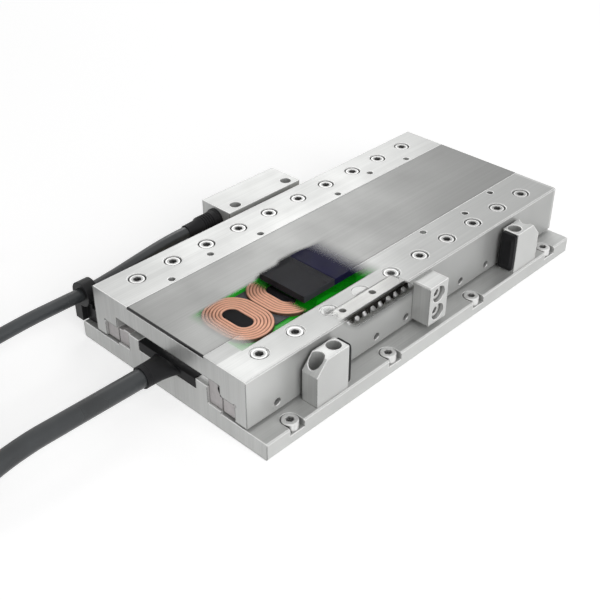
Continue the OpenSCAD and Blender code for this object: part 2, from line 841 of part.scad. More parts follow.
// End blocks of the outer rails.
module carriage_rail_end(relief_y, relief_r) {
    inner = rail_mid_y + end_gap;
    difference() {
        translate([rail_length / 2, inner, seat_z])
            cube([rail_end_l, rail_back_outer - inner, rail_h]);
        translate([rail_length / 2 - 1, relief_y, end_relief_z]) rod_x(relief_r, rail_end_l + 2);
        translate([rail_length / 2 - 1, rail_back_outer, shoulder_z])
            rod_x(corner_relief_r, rail_end_l + 2);
    }
}

module carriage_rail_ends() {
    color("rosybrown")
    for (flip = [0, 1]) mirror([flip, 0, 0]) {
        carriage_rail_end(rear_relief_y, rear_relief_r);
        mirror([0, 1, 0]) carriage_rail_end(front_relief_y, front_relief_r);
    }
}

module rail_screw_row() {
    head_z = stage_height - m3_head_h - rail_head_recess;
    color("silver")
    at_rail_screws() translate([0, outer_screw_y, head_z]) m3_screw(head_z - rail_mid_z);
}

module rail_screws_rear() { rail_screw_row(); }

module rail_screws_front() { mirror([0, 1, 0]) rail_screw_row(); }

// Set screws that press the outer rails inwards.
module preload_screws() {
    set_screw_l = 4;
    color("dimgray")
    both_sides() at_rail_screws() translate([0, rail_back_outer, rail_mid_z]) rotate([-90, 0, 0])
        difference() {
            cylinder(r = m3_thread_r, h = set_screw_l);
            translate([0, 0, set_screw_l - 1.2]) cylinder(r = 0.85, h = 2, $fn = socket_sides);
        }
}

module magnet_yoke() {
    color("darkgray")
    translate([-yoke_length / 2, -yoke_w / 2, underside_z]) cube([yoke_length, yoke_w, yoke_t]);
}

module magnets(first) {
    for (i = [first:2:magnet_count - 1])
        translate([(i - magnet_count / 2) * magnet_pitch + magnet_fit / 2, -magnet_w / 2, magnet_z])
            cube([magnet_pitch - magnet_fit, magnet_w, magnet_t]);
}

module magnets_north() { color([0.25, 0.25, 0.27]) magnets(0); }

module magnets_south() { color([0.2, 0.2, 0.4]) magnets(1); }

// Stop block screwed to the front side of the carriage.
module stop_dog() {
    color("gainsboro")
    difference() {
        translate([0, -half_carriage, dog_z]) rotate([90, 0, 0]) linear_extrude(dog_w) polygon([
            [-dog_l / 2, 0], [dog_l / 2, 0], [dog_l / 2, dog_h],
            [-dog_l / 2 + dog_bevel, dog_h], [-dog_l / 2, dog_h - dog_bevel]
        ]);
        for (z = dog_screw_z) translate([0, -half_carriage - dog_w, z]) rotate([-90, 0, 0]) {
            translate([0, 0, -1]) cylinder(r = m3_clear_r, h = dog_w + 2);
            translate([0, 0, -1]) cylinder(r = m3_bore_r, h = 1 + dog_recess + m3_head_h);
        }
    }
}

module stop_dog_screws() {
    reach = dog_w - dog_recess - m3_head_h + wall_t - 0.5;
    color("silver")
    for (z = dog_screw_z)
        translate([0, -half_carriage - dog_w + dog_recess + m3_head_h, z]) rotate([90, 0, 0])
            cap_screw(m3_thread_r, reach, m3_head_r, m3_head_h, m3_socket_r, m3_socket_depth);
}

module encoder_scale() {
    color("khaki")
    translate([-scale_length / 2, half_carriage, encoder_head_z - scale_h / 2])
        cube([scale_length, scale_t, scale_h]);
}

// ---------------------------------------------------------------- roller cages

function roller_x(i) = (i - (rollers - 1) / 2) * roller_pitch;

module cage() {
    window_w = roller_d + 0.2;
    window_h = 3;
    color([0.3, 0.29, 0.26])
    difference() {
        translate([-cage_length / 2, rail_mid_y - cage_t / 2, rail_mid_z - cage_h / 2])
            cube([cage_length, cage_t, cage_h]);
        for (i = [0:rollers - 1])
            translate([roller_x(i) - window_w / 2, rail_mid_y - cage_t, rail_mid_z - window_h / 2])
                cube([window_w, 2 * cage_t, window_h]);
    }
}

// Rollers with their axes crossed at right angles from one to the next.
module roller_row() {
    color("white")
    for (i = [0:rollers - 1])
        translate([roller_x(i), rail_mid_y, rail_mid_z]) rotate([i % 2 == 0 ? 45 : -45, 0, 0])
            cylinder(r = roller_d / 2, h = roller_l, center = true);
}

module cage_rear() { cage(); }

module rollers_rear() { roller_row(); }

module cage_front() { mirror([0, 1, 0]) cage(); }

module rollers_front() { mirror([0, 1, 0]) roller_row(); }

base_plate();
inner_rail_front();
inner_rail_rear();
inner_rail_screws();
base_rail_ends();
motor_body();
coil_board();
coil_carrier();
coil_cores();
coils_u();
coils_v();
coils_w();
motor_strain_relief();
motor_cable();
motor_cable_coil();
motor_connector();
flange_screws();
stop_left();
stop_left_screws();
bumper_left();
stop_right();
stop_right_screws();
bumper_right();
encoder_box();
encoder_read_head();
encoder_box_screws();
encoder_grommet();
encoder_cable();
encoder_cable_coil();
encoder_connector();
cable_clip();
cable_clip_screw();
carriage();
centre_cover();
outer_rail_front();
outer_rail_rear();
carriage_rail_ends();
rail_screws_front();
rail_screws_rear();
preload_screws();
magnet_yoke();
magnets_north();
magnets_south();
stop_dog();
stop_dog_screws();
encoder_scale();
cage_front();
rollers_front();
cage_rear();
rollers_rear();
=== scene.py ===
"""Linear motor stage: cables, windings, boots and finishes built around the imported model."""
import math

import bmesh
import bpy
import numpy as np
from bpy.props import FloatProperty, FloatVectorProperty, IntProperty, PointerProperty
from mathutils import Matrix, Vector


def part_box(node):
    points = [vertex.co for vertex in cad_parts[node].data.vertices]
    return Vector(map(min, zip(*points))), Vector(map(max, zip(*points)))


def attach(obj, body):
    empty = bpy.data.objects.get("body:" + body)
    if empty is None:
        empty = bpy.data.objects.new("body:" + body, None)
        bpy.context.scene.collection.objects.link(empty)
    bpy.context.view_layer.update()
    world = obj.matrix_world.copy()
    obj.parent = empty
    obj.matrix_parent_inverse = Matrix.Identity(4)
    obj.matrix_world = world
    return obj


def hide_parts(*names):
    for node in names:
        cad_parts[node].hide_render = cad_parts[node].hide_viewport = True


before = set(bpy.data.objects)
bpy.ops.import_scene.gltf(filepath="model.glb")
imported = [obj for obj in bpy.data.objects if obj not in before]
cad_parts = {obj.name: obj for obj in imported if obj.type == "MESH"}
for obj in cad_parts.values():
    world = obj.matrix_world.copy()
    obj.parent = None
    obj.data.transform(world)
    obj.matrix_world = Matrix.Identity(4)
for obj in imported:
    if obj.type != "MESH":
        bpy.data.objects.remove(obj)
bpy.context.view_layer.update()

bl_info = {
    "name": "Linear Motor Stage",
    "version": (1, 0, 0),
    "blender": (4, 5, 0),
    "location": "3D View > Sidebar > Stage",
    "description": "Builds the cables, windings, boots and finishes of a linear motor stage",
    "category": "Add Mesh",
}

STAGE_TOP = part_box("carriage")[1].z
SEAT_GAP = 0.0002
SCREW_PITCH = 0.015
SCREW_ROW = (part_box("rail_screws_rear")[0].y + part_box("rail_screws_rear")[1].y) / 2
# Painted shade round a socket: full inside the second radius, gone beyond the first.
SCREW_DISH = (0.0021, 0.0018)     # the dished ring round a socket, from its rim inward
SCREW_GONE = ((-0.0455, -0.0450), (-0.0150, -0.0155))     # along x, the screws in the cut
SCREW_FAINT = (-0.0305, -0.0300, 0.72, 1.0)               # one of them stays faint
BOOT_COLLAR = 0.00375             # radius of the motor boot's thin end
BOOT_ROOT = 0.0019                # half the height of its flat end
NEAR_END = 0.0788                 # the carriage's end faces lie beyond this x, on both sides
FRONT_WALL = -0.0355              # the carriage's outer wall lies in front of this y
# Painted shade on the carriage's front side: where it begins across y, then along x.
FRONT_SHADE_SPAN = ((-0.0172, -0.0182), (-NEAR_END, -0.055))
# The cover is painted near black beyond this x.
COVER_DARK_END = -0.0795
BARE_BOARD = (0.024, 0.030)       # where the coils show again past the bare board
FADE = 0.0035
CUT_START = -0.0704

# Painted shade for round holes in the end faces: middle's y and z, and radius. The moon is the first
# less the second.
MOON = ((-0.02535, 0.01465, 0.00253), (-0.0265, 0.0157, 0.0026))
DOT = (-0.0303, 0.01285, 0.00045)

# The cut in the carriage, in metres on its top face. It slants by CUT_SLOPE along x and y for
# each metre of depth. A soft side is a pair (solid, clear) and a sharp one is a single number;
# the sides are the left, the right, the front and the back.
CUT_SLOPE = (1.043, 1.007)
MOTOR_CUT = ((-0.0715, -0.0635), (-0.006, -0.017), (-0.0244, -0.0243), (0.05, 0.04))
STRIP_CUT = (CUT_START, -0.06, -0.0243, -0.0178)
RAIL_CUT = ((-0.041, -0.036), (-0.0075, -0.009), (-0.044, -0.039), (-0.0292, -0.0294))
INNER_CUT = (-0.078, -0.002, -0.0455, 0.012)
LIGHT_CUT = (-0.075, 0.022, FRONT_WALL, 0.018)
LIGHT_DEPTH = 0.0132

# Degrees round a coil of cable where each change begins, and how many degrees it takes.
LEVEL_OUT = (0, 30)
TURN_INWARD = (255, 100)
TURN_TO_MIDDLE = (610, 90)
CLIMB = (570, 70)
SETTLE = (716, 44)
UNDER_STRAP = (180, 540)
STRAP_REACH = 14

NUMBER, VECTOR = "NodeSocketFloat", "NodeSocketVector"

# Cable routes, in metres, as the solids have them.
MOTOR_ROUTE = [
    (-0.09, 0, 0.012), (-0.104, 0, 0.012), (-0.118, 0, 0.012), (-0.13, 0, 0.0118),
    (-0.14, 0, 0.0104), (-0.148, 0, 0.0082), (-0.155, 0, 0.006), (-0.161, 0, 0.0043),
    (-0.166, 0, 0.00335), (-0.17, 0, 0.00315),
]
MOTOR_TAIL = [
    (-0.2015, 0.03465, 0.0086), (-0.2015, 0.04165, 0.009), (-0.2015, 0.04865, 0.0095),
    (-0.2015, 0.05465, 0.0091), (-0.2015, 0.05965, 0.0083), (-0.2015, 0.06565, 0.00725),
    (-0.2015, 0.07165, 0.0065), (-0.2015, 0.07465, 0.0064), (-0.2015, 0.07665, 0.0064),
]
ENCODER_ROUTE = [
    (-0.0324, 0.0456, 0.0194), (-0.034, 0.0456, 0.0194), (-0.043, 0.0454, 0.0191),
    (-0.054, 0.0448, 0.0183), (-0.066, 0.044, 0.0174), (-0.075, 0.0435, 0.017),
    (-0.087, 0.0435, 0.017), (-0.1, 0.0435, 0.017), (-0.11, 0.0435, 0.0165),
    (-0.1194, 0.0447, 0.015), (-0.1281, 0.0483, 0.0124), (-0.1354, 0.0542, 0.0096),
    (-0.1393, 0.0592, 0.0075), (-0.1425, 0.0645, 0.0053), (-0.1454, 0.0699, 0.0035),
    (-0.1481, 0.0757, 0.0025),
]
ENCODER_TAIL = [
    (-0.1252, 0.1094, 0.00635), (-0.1197, 0.1094, 0.00665), (-0.1142, 0.1094, 0.007),
    (-0.1107, 0.1094, 0.00665), (-0.1077, 0.1094, 0.006), (-0.1047, 0.1094, 0.00535),
    (-0.1022, 0.1094, 0.005), (-0.1007, 0.1094, 0.005),
]


# ---------------- settings

def length(name, text, value):
    """A size in metres that a user may change."""
    return FloatProperty(name=name, description=text, default=value, min=0, precision=5, unit="LENGTH")


def colour(name, text, value):
    """A finish's colour that a user may change."""
    return FloatVectorProperty(name=name, description=text, default=value, subtype="COLOR",
                               size=3, min=0, max=1)


class StageCameraSettings(bpy.types.PropertyGroup):
    place: FloatVectorProperty(name="Place", description="Where the camera stands",
                               default=(-0.22606, -0.19829, 0.20322), subtype="TRANSLATION",
                               unit="LENGTH", precision=5)
    azimuth: FloatProperty(name="Azimuth", description="Turn of the camera around the stage",
                           default=math.radians(-45.972), subtype="ANGLE")
    elevation: FloatProperty(name="Elevation", description="Height angle of the camera",
                             default=math.radians(34.605), subtype="ANGLE")
    focal: FloatProperty(name="Focal length", description="Lens, on a 36 mm sensor",
                         default=60.17, unit="CAMERA")


class StageCableSettings(bpy.types.PropertyGroup):
    motor_d: length("Motor cable", "Diameter of the motor cable", 0.0063)
    motor_l: length("Motor cable length", "Length from the boot to the plug", 0.567)
    motor_outer: length("Motor coil outside turn", "Radius of the outside turn", 0.03465)
    motor_inner: length("Motor coil inside turn", "Radius of the inside turn", 0.02835)
    encoder_d: length("Encoder cable", "Diameter of the encoder cable", 0.0046)
    encoder_l: length("Encoder cable length", "Length from the boot to the plug", 0.492)
    encoder_outer: length("Encoder coil outside turn", "Radius of the outside turn", 0.0253)
    encoder_inner: length("Encoder coil inside turn", "Radius of the inside turn", 0.0207)
    strap_t: length("Strap thickness", "Thickness of the straps on the coils", 0.0006)
    strap_w: length("Strap width", "Width of the straps on the coils", 0.006)


class StageMotorSettings(bpy.types.PropertyGroup):
    coil_pitch: length("Coil pitch", "Distance from coil to coil along the travel", 0.02)
    coil_r: length("Coil radius", "Outer end radius of a coil", 0.0099)
    core_r: length("Core radius", "End radius of a coil's core", 0.003)
    straight: length("Straight", "Straight run of a coil", 0.006)
    rings: IntProperty(name="Rings", description="Rings of wire across a coil", default=6, min=2)
    boot_length: length("Boot length", "Length of the motor cable's boot", 0.01)


class StageFinishSettings(bpy.types.PropertyGroup):
    aluminium: colour("Aluminium", "Machined faces of base, carriage and fittings", (0.57, 0.575, 0.565))
    cover: colour("Cover", "Brushed cover strip", (0.25, 0.252, 0.246))
    rail: colour("Rail steel", "Ground rails", (0.58, 0.58, 0.565))
    rail_end: colour("Rail end steel", "Blocks at the ends of the rails", (0.55, 0.525, 0.525))
    screw: colour("Screws", "Bright cap screws", (0.78, 0.78, 0.77))
    dark_screw: colour("Dark screws", "Small black screws", (0.18, 0.18, 0.19))
    copper: colour("Copper", "Enamelled winding wire", (0.66, 0.36, 0.25))
    board: colour("Circuit board", "Green board under the coils", (0.004, 0.46, 0.008))
    magnet: colour("Magnet", "Dark coated magnet", (0.034, 0.034, 0.04))
    magnet_second: colour("Other magnet", "Indigo coated magnet", (0.011, 0.01, 0.04))
    rubber: colour("Rubber", "Boots, bumpers and motor body", (0.012, 0.012, 0.013))
    jacket: colour("Cable jacket", "Outer jacket of both cables", (0.032, 0.035, 0.037))


class StageStudioSettings(bpy.types.PropertyGroup):
    ambient: FloatProperty(name="Ambient", description="Even light from all round", default=0.34)
    key_power: FloatProperty(name="Key lamp", description="Power of the main lamp", default=9.2,
                             unit="POWER")
    sheen_power: FloatProperty(name="Sheen lamp", description="Power of the panel behind",
                               default=1.25, unit="POWER")
    floor: colour("Floor", "Floor under the stage", (0.80, 0.80, 0.80))


SETTINGS = {
    "stage_camera": StageCameraSettings,
    "stage_cables": StageCableSettings,
    "stage_motor": StageMotorSettings,
    "stage_finish": StageFinishSettings,
    "stage_studio": StageStudioSettings,
}


# ---------------- surfaces

def ease(x):
    """Smooth step: 0 below 0, 1 above 1, and 3x^2 - 2x^3 between."""
    x = np.clip(x, 0, 1)
    return x * x * (3 - 2 * x)


def unit(v):
    """Each row of v divided by its own length."""
    return v / np.linalg.norm(v, axis=-1, keepdims=True)


def smooth_path(points, spacing):
    """A cubic through the points: on each chord, Hermite blending of the two ends and their slopes."""
    p = np.asarray(points, dtype=float)
    chord = np.linalg.norm(np.diff(p, axis=0), axis=1)
    run = np.concatenate([[0], np.cumsum(chord)])
    slope = np.gradient(p, run, axis=0)
    at = np.linspace(0, run[-1], int(run[-1] / spacing) + 1)
    i = np.clip(np.searchsorted(run, at, side="right") - 1, 0, len(chord) - 1)
    h = chord[i][:, None]
    u = ((at - run[i]) / chord[i])[:, None]
    return ((1 + 2 * u) * (1 - u) ** 2 * p[i] + u * (1 - u) ** 2 * h * slope[i]
            + u * u * (3 - 2 * u) * p[i + 1] + u * u * (u - 1) * h * slope[i + 1])


def circle(count):
    """Angles of points set evenly round a circle."""
    return np.linspace(0, 2 * math.pi, count, endpoint=False)


def superellipse(count, power):
    """Points of |u|^(2 / power) + |v|^(2 / power) = 1."""
    c, s = np.cos(circle(count)), np.sin(circle(count))
    return np.sign(c) * np.abs(c) ** power, np.sign(s) * np.abs(s) ** power


def in_scene(name, data):
    """A new object in the scene."""
    obj = bpy.data.objects.new(name, data)
    bpy.context.scene.collection.objects.link(obj)
    return obj


def coil_turns(entry, start, end, outer, inner, valley_z, d, lift):
    """Two turns and a part about a centre, clockwise from above, from the entry point.

    The radius goes from the outer turn to the inner one and then to the middle, where the last
    turn climbs one diameter over the crossing and settles in the valley between the two below it.
    The strap lifts the cable by its own thickness where it passes under it."""
    turned = np.append(np.arange(0, end, 7.5), end)

    def change(begin, takes):
        return ease((turned - begin) / takes)

    first = math.radians(start)
    centre = (entry[0] - outer * math.cos(first), entry[1] - outer * math.sin(first))
    radius = (outer + (inner - outer) * change(*TURN_INWARD)
              + ((outer + inner) / 2 - inner) * change(*TURN_TO_MIDDLE))
    hump = sum(np.exp(-((turned - at) / STRAP_REACH) ** 2) for at in UNDER_STRAP)
    z = (d / 2 + (entry[2] - d / 2) * (1 - change(*LEVEL_OUT)) + d * change(*CLIMB)
         - (1.5 * d - valley_z) * change(*SETTLE) + lift * hump)
    angle = first - np.radians(turned)
    turns = [centre[0] + radius * np.cos(angle), centre[1] + radius * np.sin(angle), z]
    return centre, np.stack(turns, 1)


def piece(name, points, wrap_rows=False, wrap_cols=True, ends=True, smooth=True):
    """Mesh of a surface given on a grid: row i, column j is joined to its neighbours by quads.

    Open ends are closed by a fan round the middle of the end row, and faces are turned outward."""
    rows, cols = points.shape[:2]
    verts = points.reshape(-1, 3)
    index = np.arange(rows * cols).reshape(rows, cols)
    if wrap_rows:
        index = np.concatenate([index, index[:1]], 0)
    if wrap_cols:
        index = np.concatenate([index, index[:, :1]], 1)
    quads = np.stack([index[:-1, :-1], index[:-1, 1:], index[1:, 1:], index[1:, :-1]], -1)
    faces = quads.reshape(-1, 4).tolist()
    if ends and not wrap_rows:
        n = len(verts)
        verts = np.concatenate([verts, [points[0].mean(0), points[-1].mean(0)]])
        first, last = index[0], index[-1]
        faces += np.stack([first[1:], first[:-1], np.full(len(first) - 1, n)], 1).tolist()
        faces += np.stack([last[:-1], last[1:], np.full(len(last) - 1, n + 1)], 1).tolist()
    mesh = bpy.data.meshes.new(name)
    mesh.from_pydata(verts.tolist(), [], faces)
    work = bmesh.new()
    work.from_mesh(mesh)
    bmesh.ops.remove_doubles(work, verts=work.verts, dist=1e-7)
    bmesh.ops.recalc_face_normals(work, faces=work.faces)
    work.to_mesh(mesh)
    work.free()
    mesh.polygons.foreach_set("use_smooth", np.full(len(mesh.polygons), smooth))
    if smooth:
        mesh.set_sharp_from_angle(angle=math.radians(38))
    return in_scene(name, mesh)


def merge(name, objects):
    """Several objects as one."""
    work = bmesh.new()
    for o in objects:
        work.from_mesh(o.data)
        bpy.data.objects.remove(o)
    mesh = bpy.data.meshes.new(name)
    work.to_mesh(mesh)
    work.free()
    return in_scene(name, mesh)


def tube(path, d, around=28):
    """A circle of diameter d carried along the path, square to it, with its top kept upward."""
    along = unit(np.gradient(path, axis=0))
    side = unit(np.cross((0, 0, 1), along))
    up = np.cross(along, side)
    a = circle(around)[None, :, None]
    return path[:, None] + d / 2 * (np.cos(a) * side[:, None] + np.sin(a) * up[:, None])


def turned_part(profile, origin, along, around=64, knurl=None):
    """A profile of (distance, radius) turned about the line from origin along a direction.

    knurl(distance) gives the depth of ridges, whose height follows a rounded cosine."""
    profile = np.asarray(profile, dtype=float)
    along = np.asarray(along, dtype=float)
    side = unit(np.cross((0, 0, 1), along))
    up = np.cross(along, side)
    a = circle(around)
    r = np.repeat(profile[:, 1:2], around, 1)
    if knurl is not None:
        r = r - knurl(profile[:, :1]) * (0.5 + 0.5 * np.cos(a * around / 4))[None]
    ring = np.cos(a)[None, :, None] * side + np.sin(a)[None, :, None] * up
    return np.asarray(origin) + profile[:, :1, None] * along + r[:, :, None] * ring


def strap_band(centre, across, half_w, half_h, thick, wide):
    """A flat band round a bundle: a rounded rectangle whose section is thin and slightly crowned.

    The rectangle is the superellipse |x/a|^4 + |z/b|^4 = 1, in the plane of `across` and up."""
    across = unit(np.asarray(across, dtype=float))
    along = np.cross((0, 0, 1), across)
    c, s = superellipse(72, 0.5)
    section = np.array([(-0.5, 0), (-0.5, 0.8), (-0.35, 1), (0.35, 1), (0.5, 0.8), (0.5, 0)])
    grow = section[:, 1] * thick
    radial = ((half_w + grow)[None, :, None] * c[:, None, None] * across
              + (half_h + grow)[None, :, None] * s[:, None, None] * np.array((0, 0, 1.0)))
    return np.asarray(centre) + radial + (section[:, 0] * wide)[None, :, None] * along


def winding(centre, z, height, m):
    """A racetrack coil: rings of rounded wire bundles carried round a stadium.

    Across the section t goes 0..1 from the core outward and the top stands at
    height * (0.68 + 0.27 * |sin(pi * rings * t)|^0.45), with a finer wave for single wires."""
    t = np.linspace(0, 1, m.rings * 16 + 1)
    wave = np.abs(np.sin(math.pi * m.rings * t)) ** 0.45
    wires = np.abs(np.sin(math.pi * m.rings * 4 * t))
    top = z + height * (0.68 + 0.27 * wave + 0.05 * wires * wave)
    r = m.core_r + (m.coil_r - m.core_r) * t
    r = np.concatenate([[m.core_r], r, [m.coil_r]])
    h = np.concatenate([[z], top, [z]])
    a = np.linspace(0, math.pi, 40)
    angle = np.concatenate([a, a + math.pi])
    shift = np.repeat([m.straight / 2, -m.straight / 2], 40)
    x = centre + r[None] * np.cos(angle)[:, None]
    y = shift[:, None] + r[None] * np.sin(angle)[:, None]
    return np.stack([x, y, np.broadcast_to(h, x.shape)], -1)


# ---------------- shader building

def feed(tree, node, values):
    """Gives a node's inputs their values or links."""
    for key, value in values.items():
        if isinstance(value, bpy.types.NodeSocket):
            tree.links.new(value, node.inputs[key])
        else:
            node.inputs[key].default_value = value


def add(tree, kind, inputs=None, **settings):
    """A node with its settings, whose inputs are values or links."""
    made = tree.nodes.new(kind)
    for key, value in settings.items():
        setattr(made, key, value)
    feed(tree, made, inputs or {})
    return made


def here(tree):
    """The point being shaded, in the object's own coordinates."""
    return add(tree, "ShaderNodeTexCoord").outputs["Object"]


def axes(tree):
    """The same point as three numbers."""
    return add(tree, "ShaderNodeSeparateXYZ", {0: here(tree)}).outputs


def noise(tree, place, scale, detail):
    """Clouds of a size and a fineness."""
    inputs = {"Vector": place, "Scale": scale, "Detail": detail}
    return add(tree, "ShaderNodeTexNoise", inputs).outputs[0]


def maths(tree, what, a, *others, clamp=False):
    """One operation on numbers, worked from the left when there are more than two."""
    for b in others or (0.0,):
        a = add(tree, "ShaderNodeMath", {0: a, 1: b}, operation=what, use_clamp=clamp).outputs[0]
    return a


def mix(tree, factor, a, b, kind="RGBA"):
    """Blend of two colours or two numbers."""
    first, second, result = {"RGBA": (6, 7, 2), "FLOAT": (2, 3, 0)}[kind]
    return add(tree, "ShaderNodeMix", {0: factor, first: a, second: b}, data_type=kind).outputs[result]


def overlay(tree, mask, strength, base, top):
    """A colour laid over another where the mask is, at part of its strength."""
    return mix(tree, maths(tree, "MULTIPLY", mask, strength), base, top)


def see_through(tree, shader, clear):
    """Opens a finish where it is clear, 0 solid to 1 clear."""
    feed(tree, shader, {"Alpha": maths(tree, "SUBTRACT", 1.0, clear)})


def spread(tree, value, low, high, to_low=0.0, to_high=1.0, kind="LINEAR"):
    """A number carried in a straight line from one span to another, and held beyond it."""
    inputs = {"Value": value, "From Min": low, "From Max": high, "To Min": to_low, "To Max": to_high}
    return add(tree, "ShaderNodeMapRange", inputs, interpolation_type=kind).outputs["Result"]


def step(tree, value, low, high, to_low=0.0, to_high=1.0):
    """The same by a smooth step."""
    return spread(tree, value, low, high, to_low, to_high, "SMOOTHSTEP")


def group(name, inputs, outputs):
    """A shader node group with named sockets."""
    tree = bpy.data.node_groups.new(name, "ShaderNodeTree")
    for label, kind, value in inputs:
        socket = tree.interface.new_socket(label, in_out="INPUT", socket_type=kind)
        socket.default_value = value
    for label, kind in outputs:
        tree.interface.new_socket(label, in_out="OUTPUT", socket_type=kind)
    return tree, tree.nodes.new("NodeGroupInput").outputs, tree.nodes.new("NodeGroupOutput").inputs


def use(tree, name, **inputs):
    """One of the groups placed in a tree, with its own values."""
    values = {key.replace("_", " "): value for key, value in inputs.items()}
    return add(tree, "ShaderNodeGroup", values, node_tree=bpy.data.node_groups[name]).outputs


def any_ray(tree, *kinds):
    """1 for rays of these kinds and 0 for others."""
    rays = add(tree, "ShaderNodeLightPath").outputs
    return maths(tree, "MAXIMUM", *(rays[f"Is {kind} Ray"] for kind in kinds))


def make_groups():
    """The effects that the finishes share."""
    tree, given, out = group("Brushed grain", [("Stretch", VECTOR, (30, 2600, 30))],
                             [("Tone", NUMBER), ("Height", NUMBER)])
    drawn = add(tree, "ShaderNodeVectorMath", {0: here(tree), 1: given["Stretch"]},
                operation="MULTIPLY").outputs[0]
    fine = noise(tree, drawn, 1.0, 3.0)
    wide = add(tree, "ShaderNodeVectorMath", {0: drawn, "Scale": 0.13}, operation="SCALE").outputs[0]
    both = maths(tree, "ADD", maths(tree, "MULTIPLY", fine, 0.6),
                 maths(tree, "MULTIPLY", noise(tree, wide, 1.0, 2.0), 0.4))
    tree.links.new(spread(tree, both, 0.32, 0.68), out["Tone"])
    tree.links.new(fine, out["Height"])

    # Mask marks rounded edges, where finishes paint a highlight; Painted shade marks upright edges that
    # face the cable end, where they paint shade.
    tree, given, out = group("Edge catch", [("Radius", NUMBER, 0.0003)],
                             [("Mask", NUMBER), ("Painted shade", NUMBER), ("Normal", VECTOR)])
    rounded = add(tree, "ShaderNodeBevel", {"Radius": given["Radius"]}, samples=6).outputs[0]
    flat = add(tree, "ShaderNodeNewGeometry").outputs["Normal"]
    dot = add(tree, "ShaderNodeVectorMath", {0: rounded, 1: flat}, operation="DOT_PRODUCT")
    tree.links.new(step(tree, dot.outputs["Value"], 0.998, 0.92), out["Mask"])
    facing = add(tree, "ShaderNodeSeparateXYZ", {0: rounded}).outputs
    tree.links.new(maths(tree, "MULTIPLY", spread(tree, facing[2], 0.45, 0.2),
                         spread(tree, facing[0], -0.2, -0.45)), out["Painted shade"])
    tree.links.new(rounded, out["Normal"])

    tree, given, out = group("Soft blotch", [("Scale", NUMBER, 40.0)], [("Tone", NUMBER)])
    tree.links.new(spread(tree, noise(tree, here(tree), given["Scale"], 4.0), 0.3, 0.7), out["Tone"])

    tree, given, out = group("Moulded skin", [("Scale", NUMBER, 2500.0)],
                             [("Tone", NUMBER), ("Height", NUMBER)])
    tree.links.new(spread(tree, noise(tree, here(tree), 60.0, 3.0), 0.35, 0.7), out["Tone"])
    tree.links.new(noise(tree, here(tree), given["Scale"], 3.0), out["Height"])

    window_group()


def window_group():
    """Phantom windows in the carriage: how clear a point is, 0 solid to 1 clear.

    A point is first slid up the slanted cut to the top face. Each window there is the product
    of four steps, one for each side: soft for the skin, sharp and wider for what lies inside.
    The back of the motor's window lies further back at the magnets and further in at the first
    coil. Light gets in through a plain opening over both."""
    tree, given, out = group("Phantom window", [("Skin depth", NUMBER, 0.0004)],
                             [("Clear", NUMBER), ("Inside", NUMBER), ("Light", NUMBER)])
    xyz = axes(tree)
    depth = maths(tree, "SUBTRACT", STAGE_TOP, xyz[2])
    x, y = (maths(tree, "SUBTRACT", xyz[i], maths(tree, "MULTIPLY", depth, slope))
            for i, slope in enumerate(CUT_SLOPE))

    def soft(x, y, left, right, front, back):
        return maths(tree, "MULTIPLY", step(tree, x, *left), step(tree, x, *right),
                     step(tree, y, *front), step(tree, y, *back))

    def sharp(x, y, left, right, front, back):
        thin = 0.0001
        return soft(x, y, (left - thin, left), (right + thin, right), (front - thin, front),
                    (back + thin, back))

    magnets = maths(tree, "MULTIPLY", step(tree, x, -0.031, -0.027, 0.0, 0.0015),
                    step(tree, x, -0.013, -0.022))
    back = maths(tree, "SUBTRACT", y, magnets, step(tree, x, -0.043, -0.038, -0.002, 0.0))
    motor = maths(tree, "MULTIPLY", step(tree, back, 0.003, 0.0008), soft(x, y, *MOTOR_CUT))
    strip = maths(tree, "MULTIPLY", spread(tree, x, CUT_START, -0.062, 0.4, 1.0),
                  sharp(x, y, *STRIP_CUT))
    skin = maths(tree, "MAXIMUM", maths(tree, "LESS_THAN", depth, given["Skin depth"]),
                 maths(tree, "LESS_THAN", xyz[1], FRONT_WALL))
    inside = sharp(x, y, *INNER_CUT)
    outside = maths(tree, "MAXIMUM", motor, strip, soft(x, y, *RAIL_CUT))
    tree.links.new(mix(tree, skin, inside, outside, "FLOAT"), out["Clear"])
    tree.links.new(inside, out["Inside"])
    tree.links.new(maths(tree, "MULTIPLY", maths(tree, "LESS_THAN", depth, LIGHT_DEPTH),
                         sharp(xyz[0], xyz[1], *LIGHT_CUT)), out["Light"])


def material(name):
    """An empty material and its surface shader."""
    made = bpy.data.materials.new(name)
    made.use_nodes = True
    return made, made.node_tree, made.node_tree.nodes["Principled BSDF"]


def rgba(c, k=1.0):
    return (*(min(1.0, v * k) for v in c), 1.0)


def tone_colour(tree, tone, c, dark=0.85, light=1.1):
    """A colour that goes from a darker to a lighter shade of itself with the tone."""
    return mix(tree, tone, rgba(c, dark), rgba(c, light))


def set_bump(tree, shader, height, strength, distance, normal=None):
    """Fine relief on a finish, over a rounded normal where one is given."""
    inputs = {"Height": height, "Strength": strength, "Distance": distance}
    if normal is not None:
        inputs["Normal"] = normal
    feed(tree, shader, {"Normal": add(tree, "ShaderNodeBump", inputs).outputs[0]})


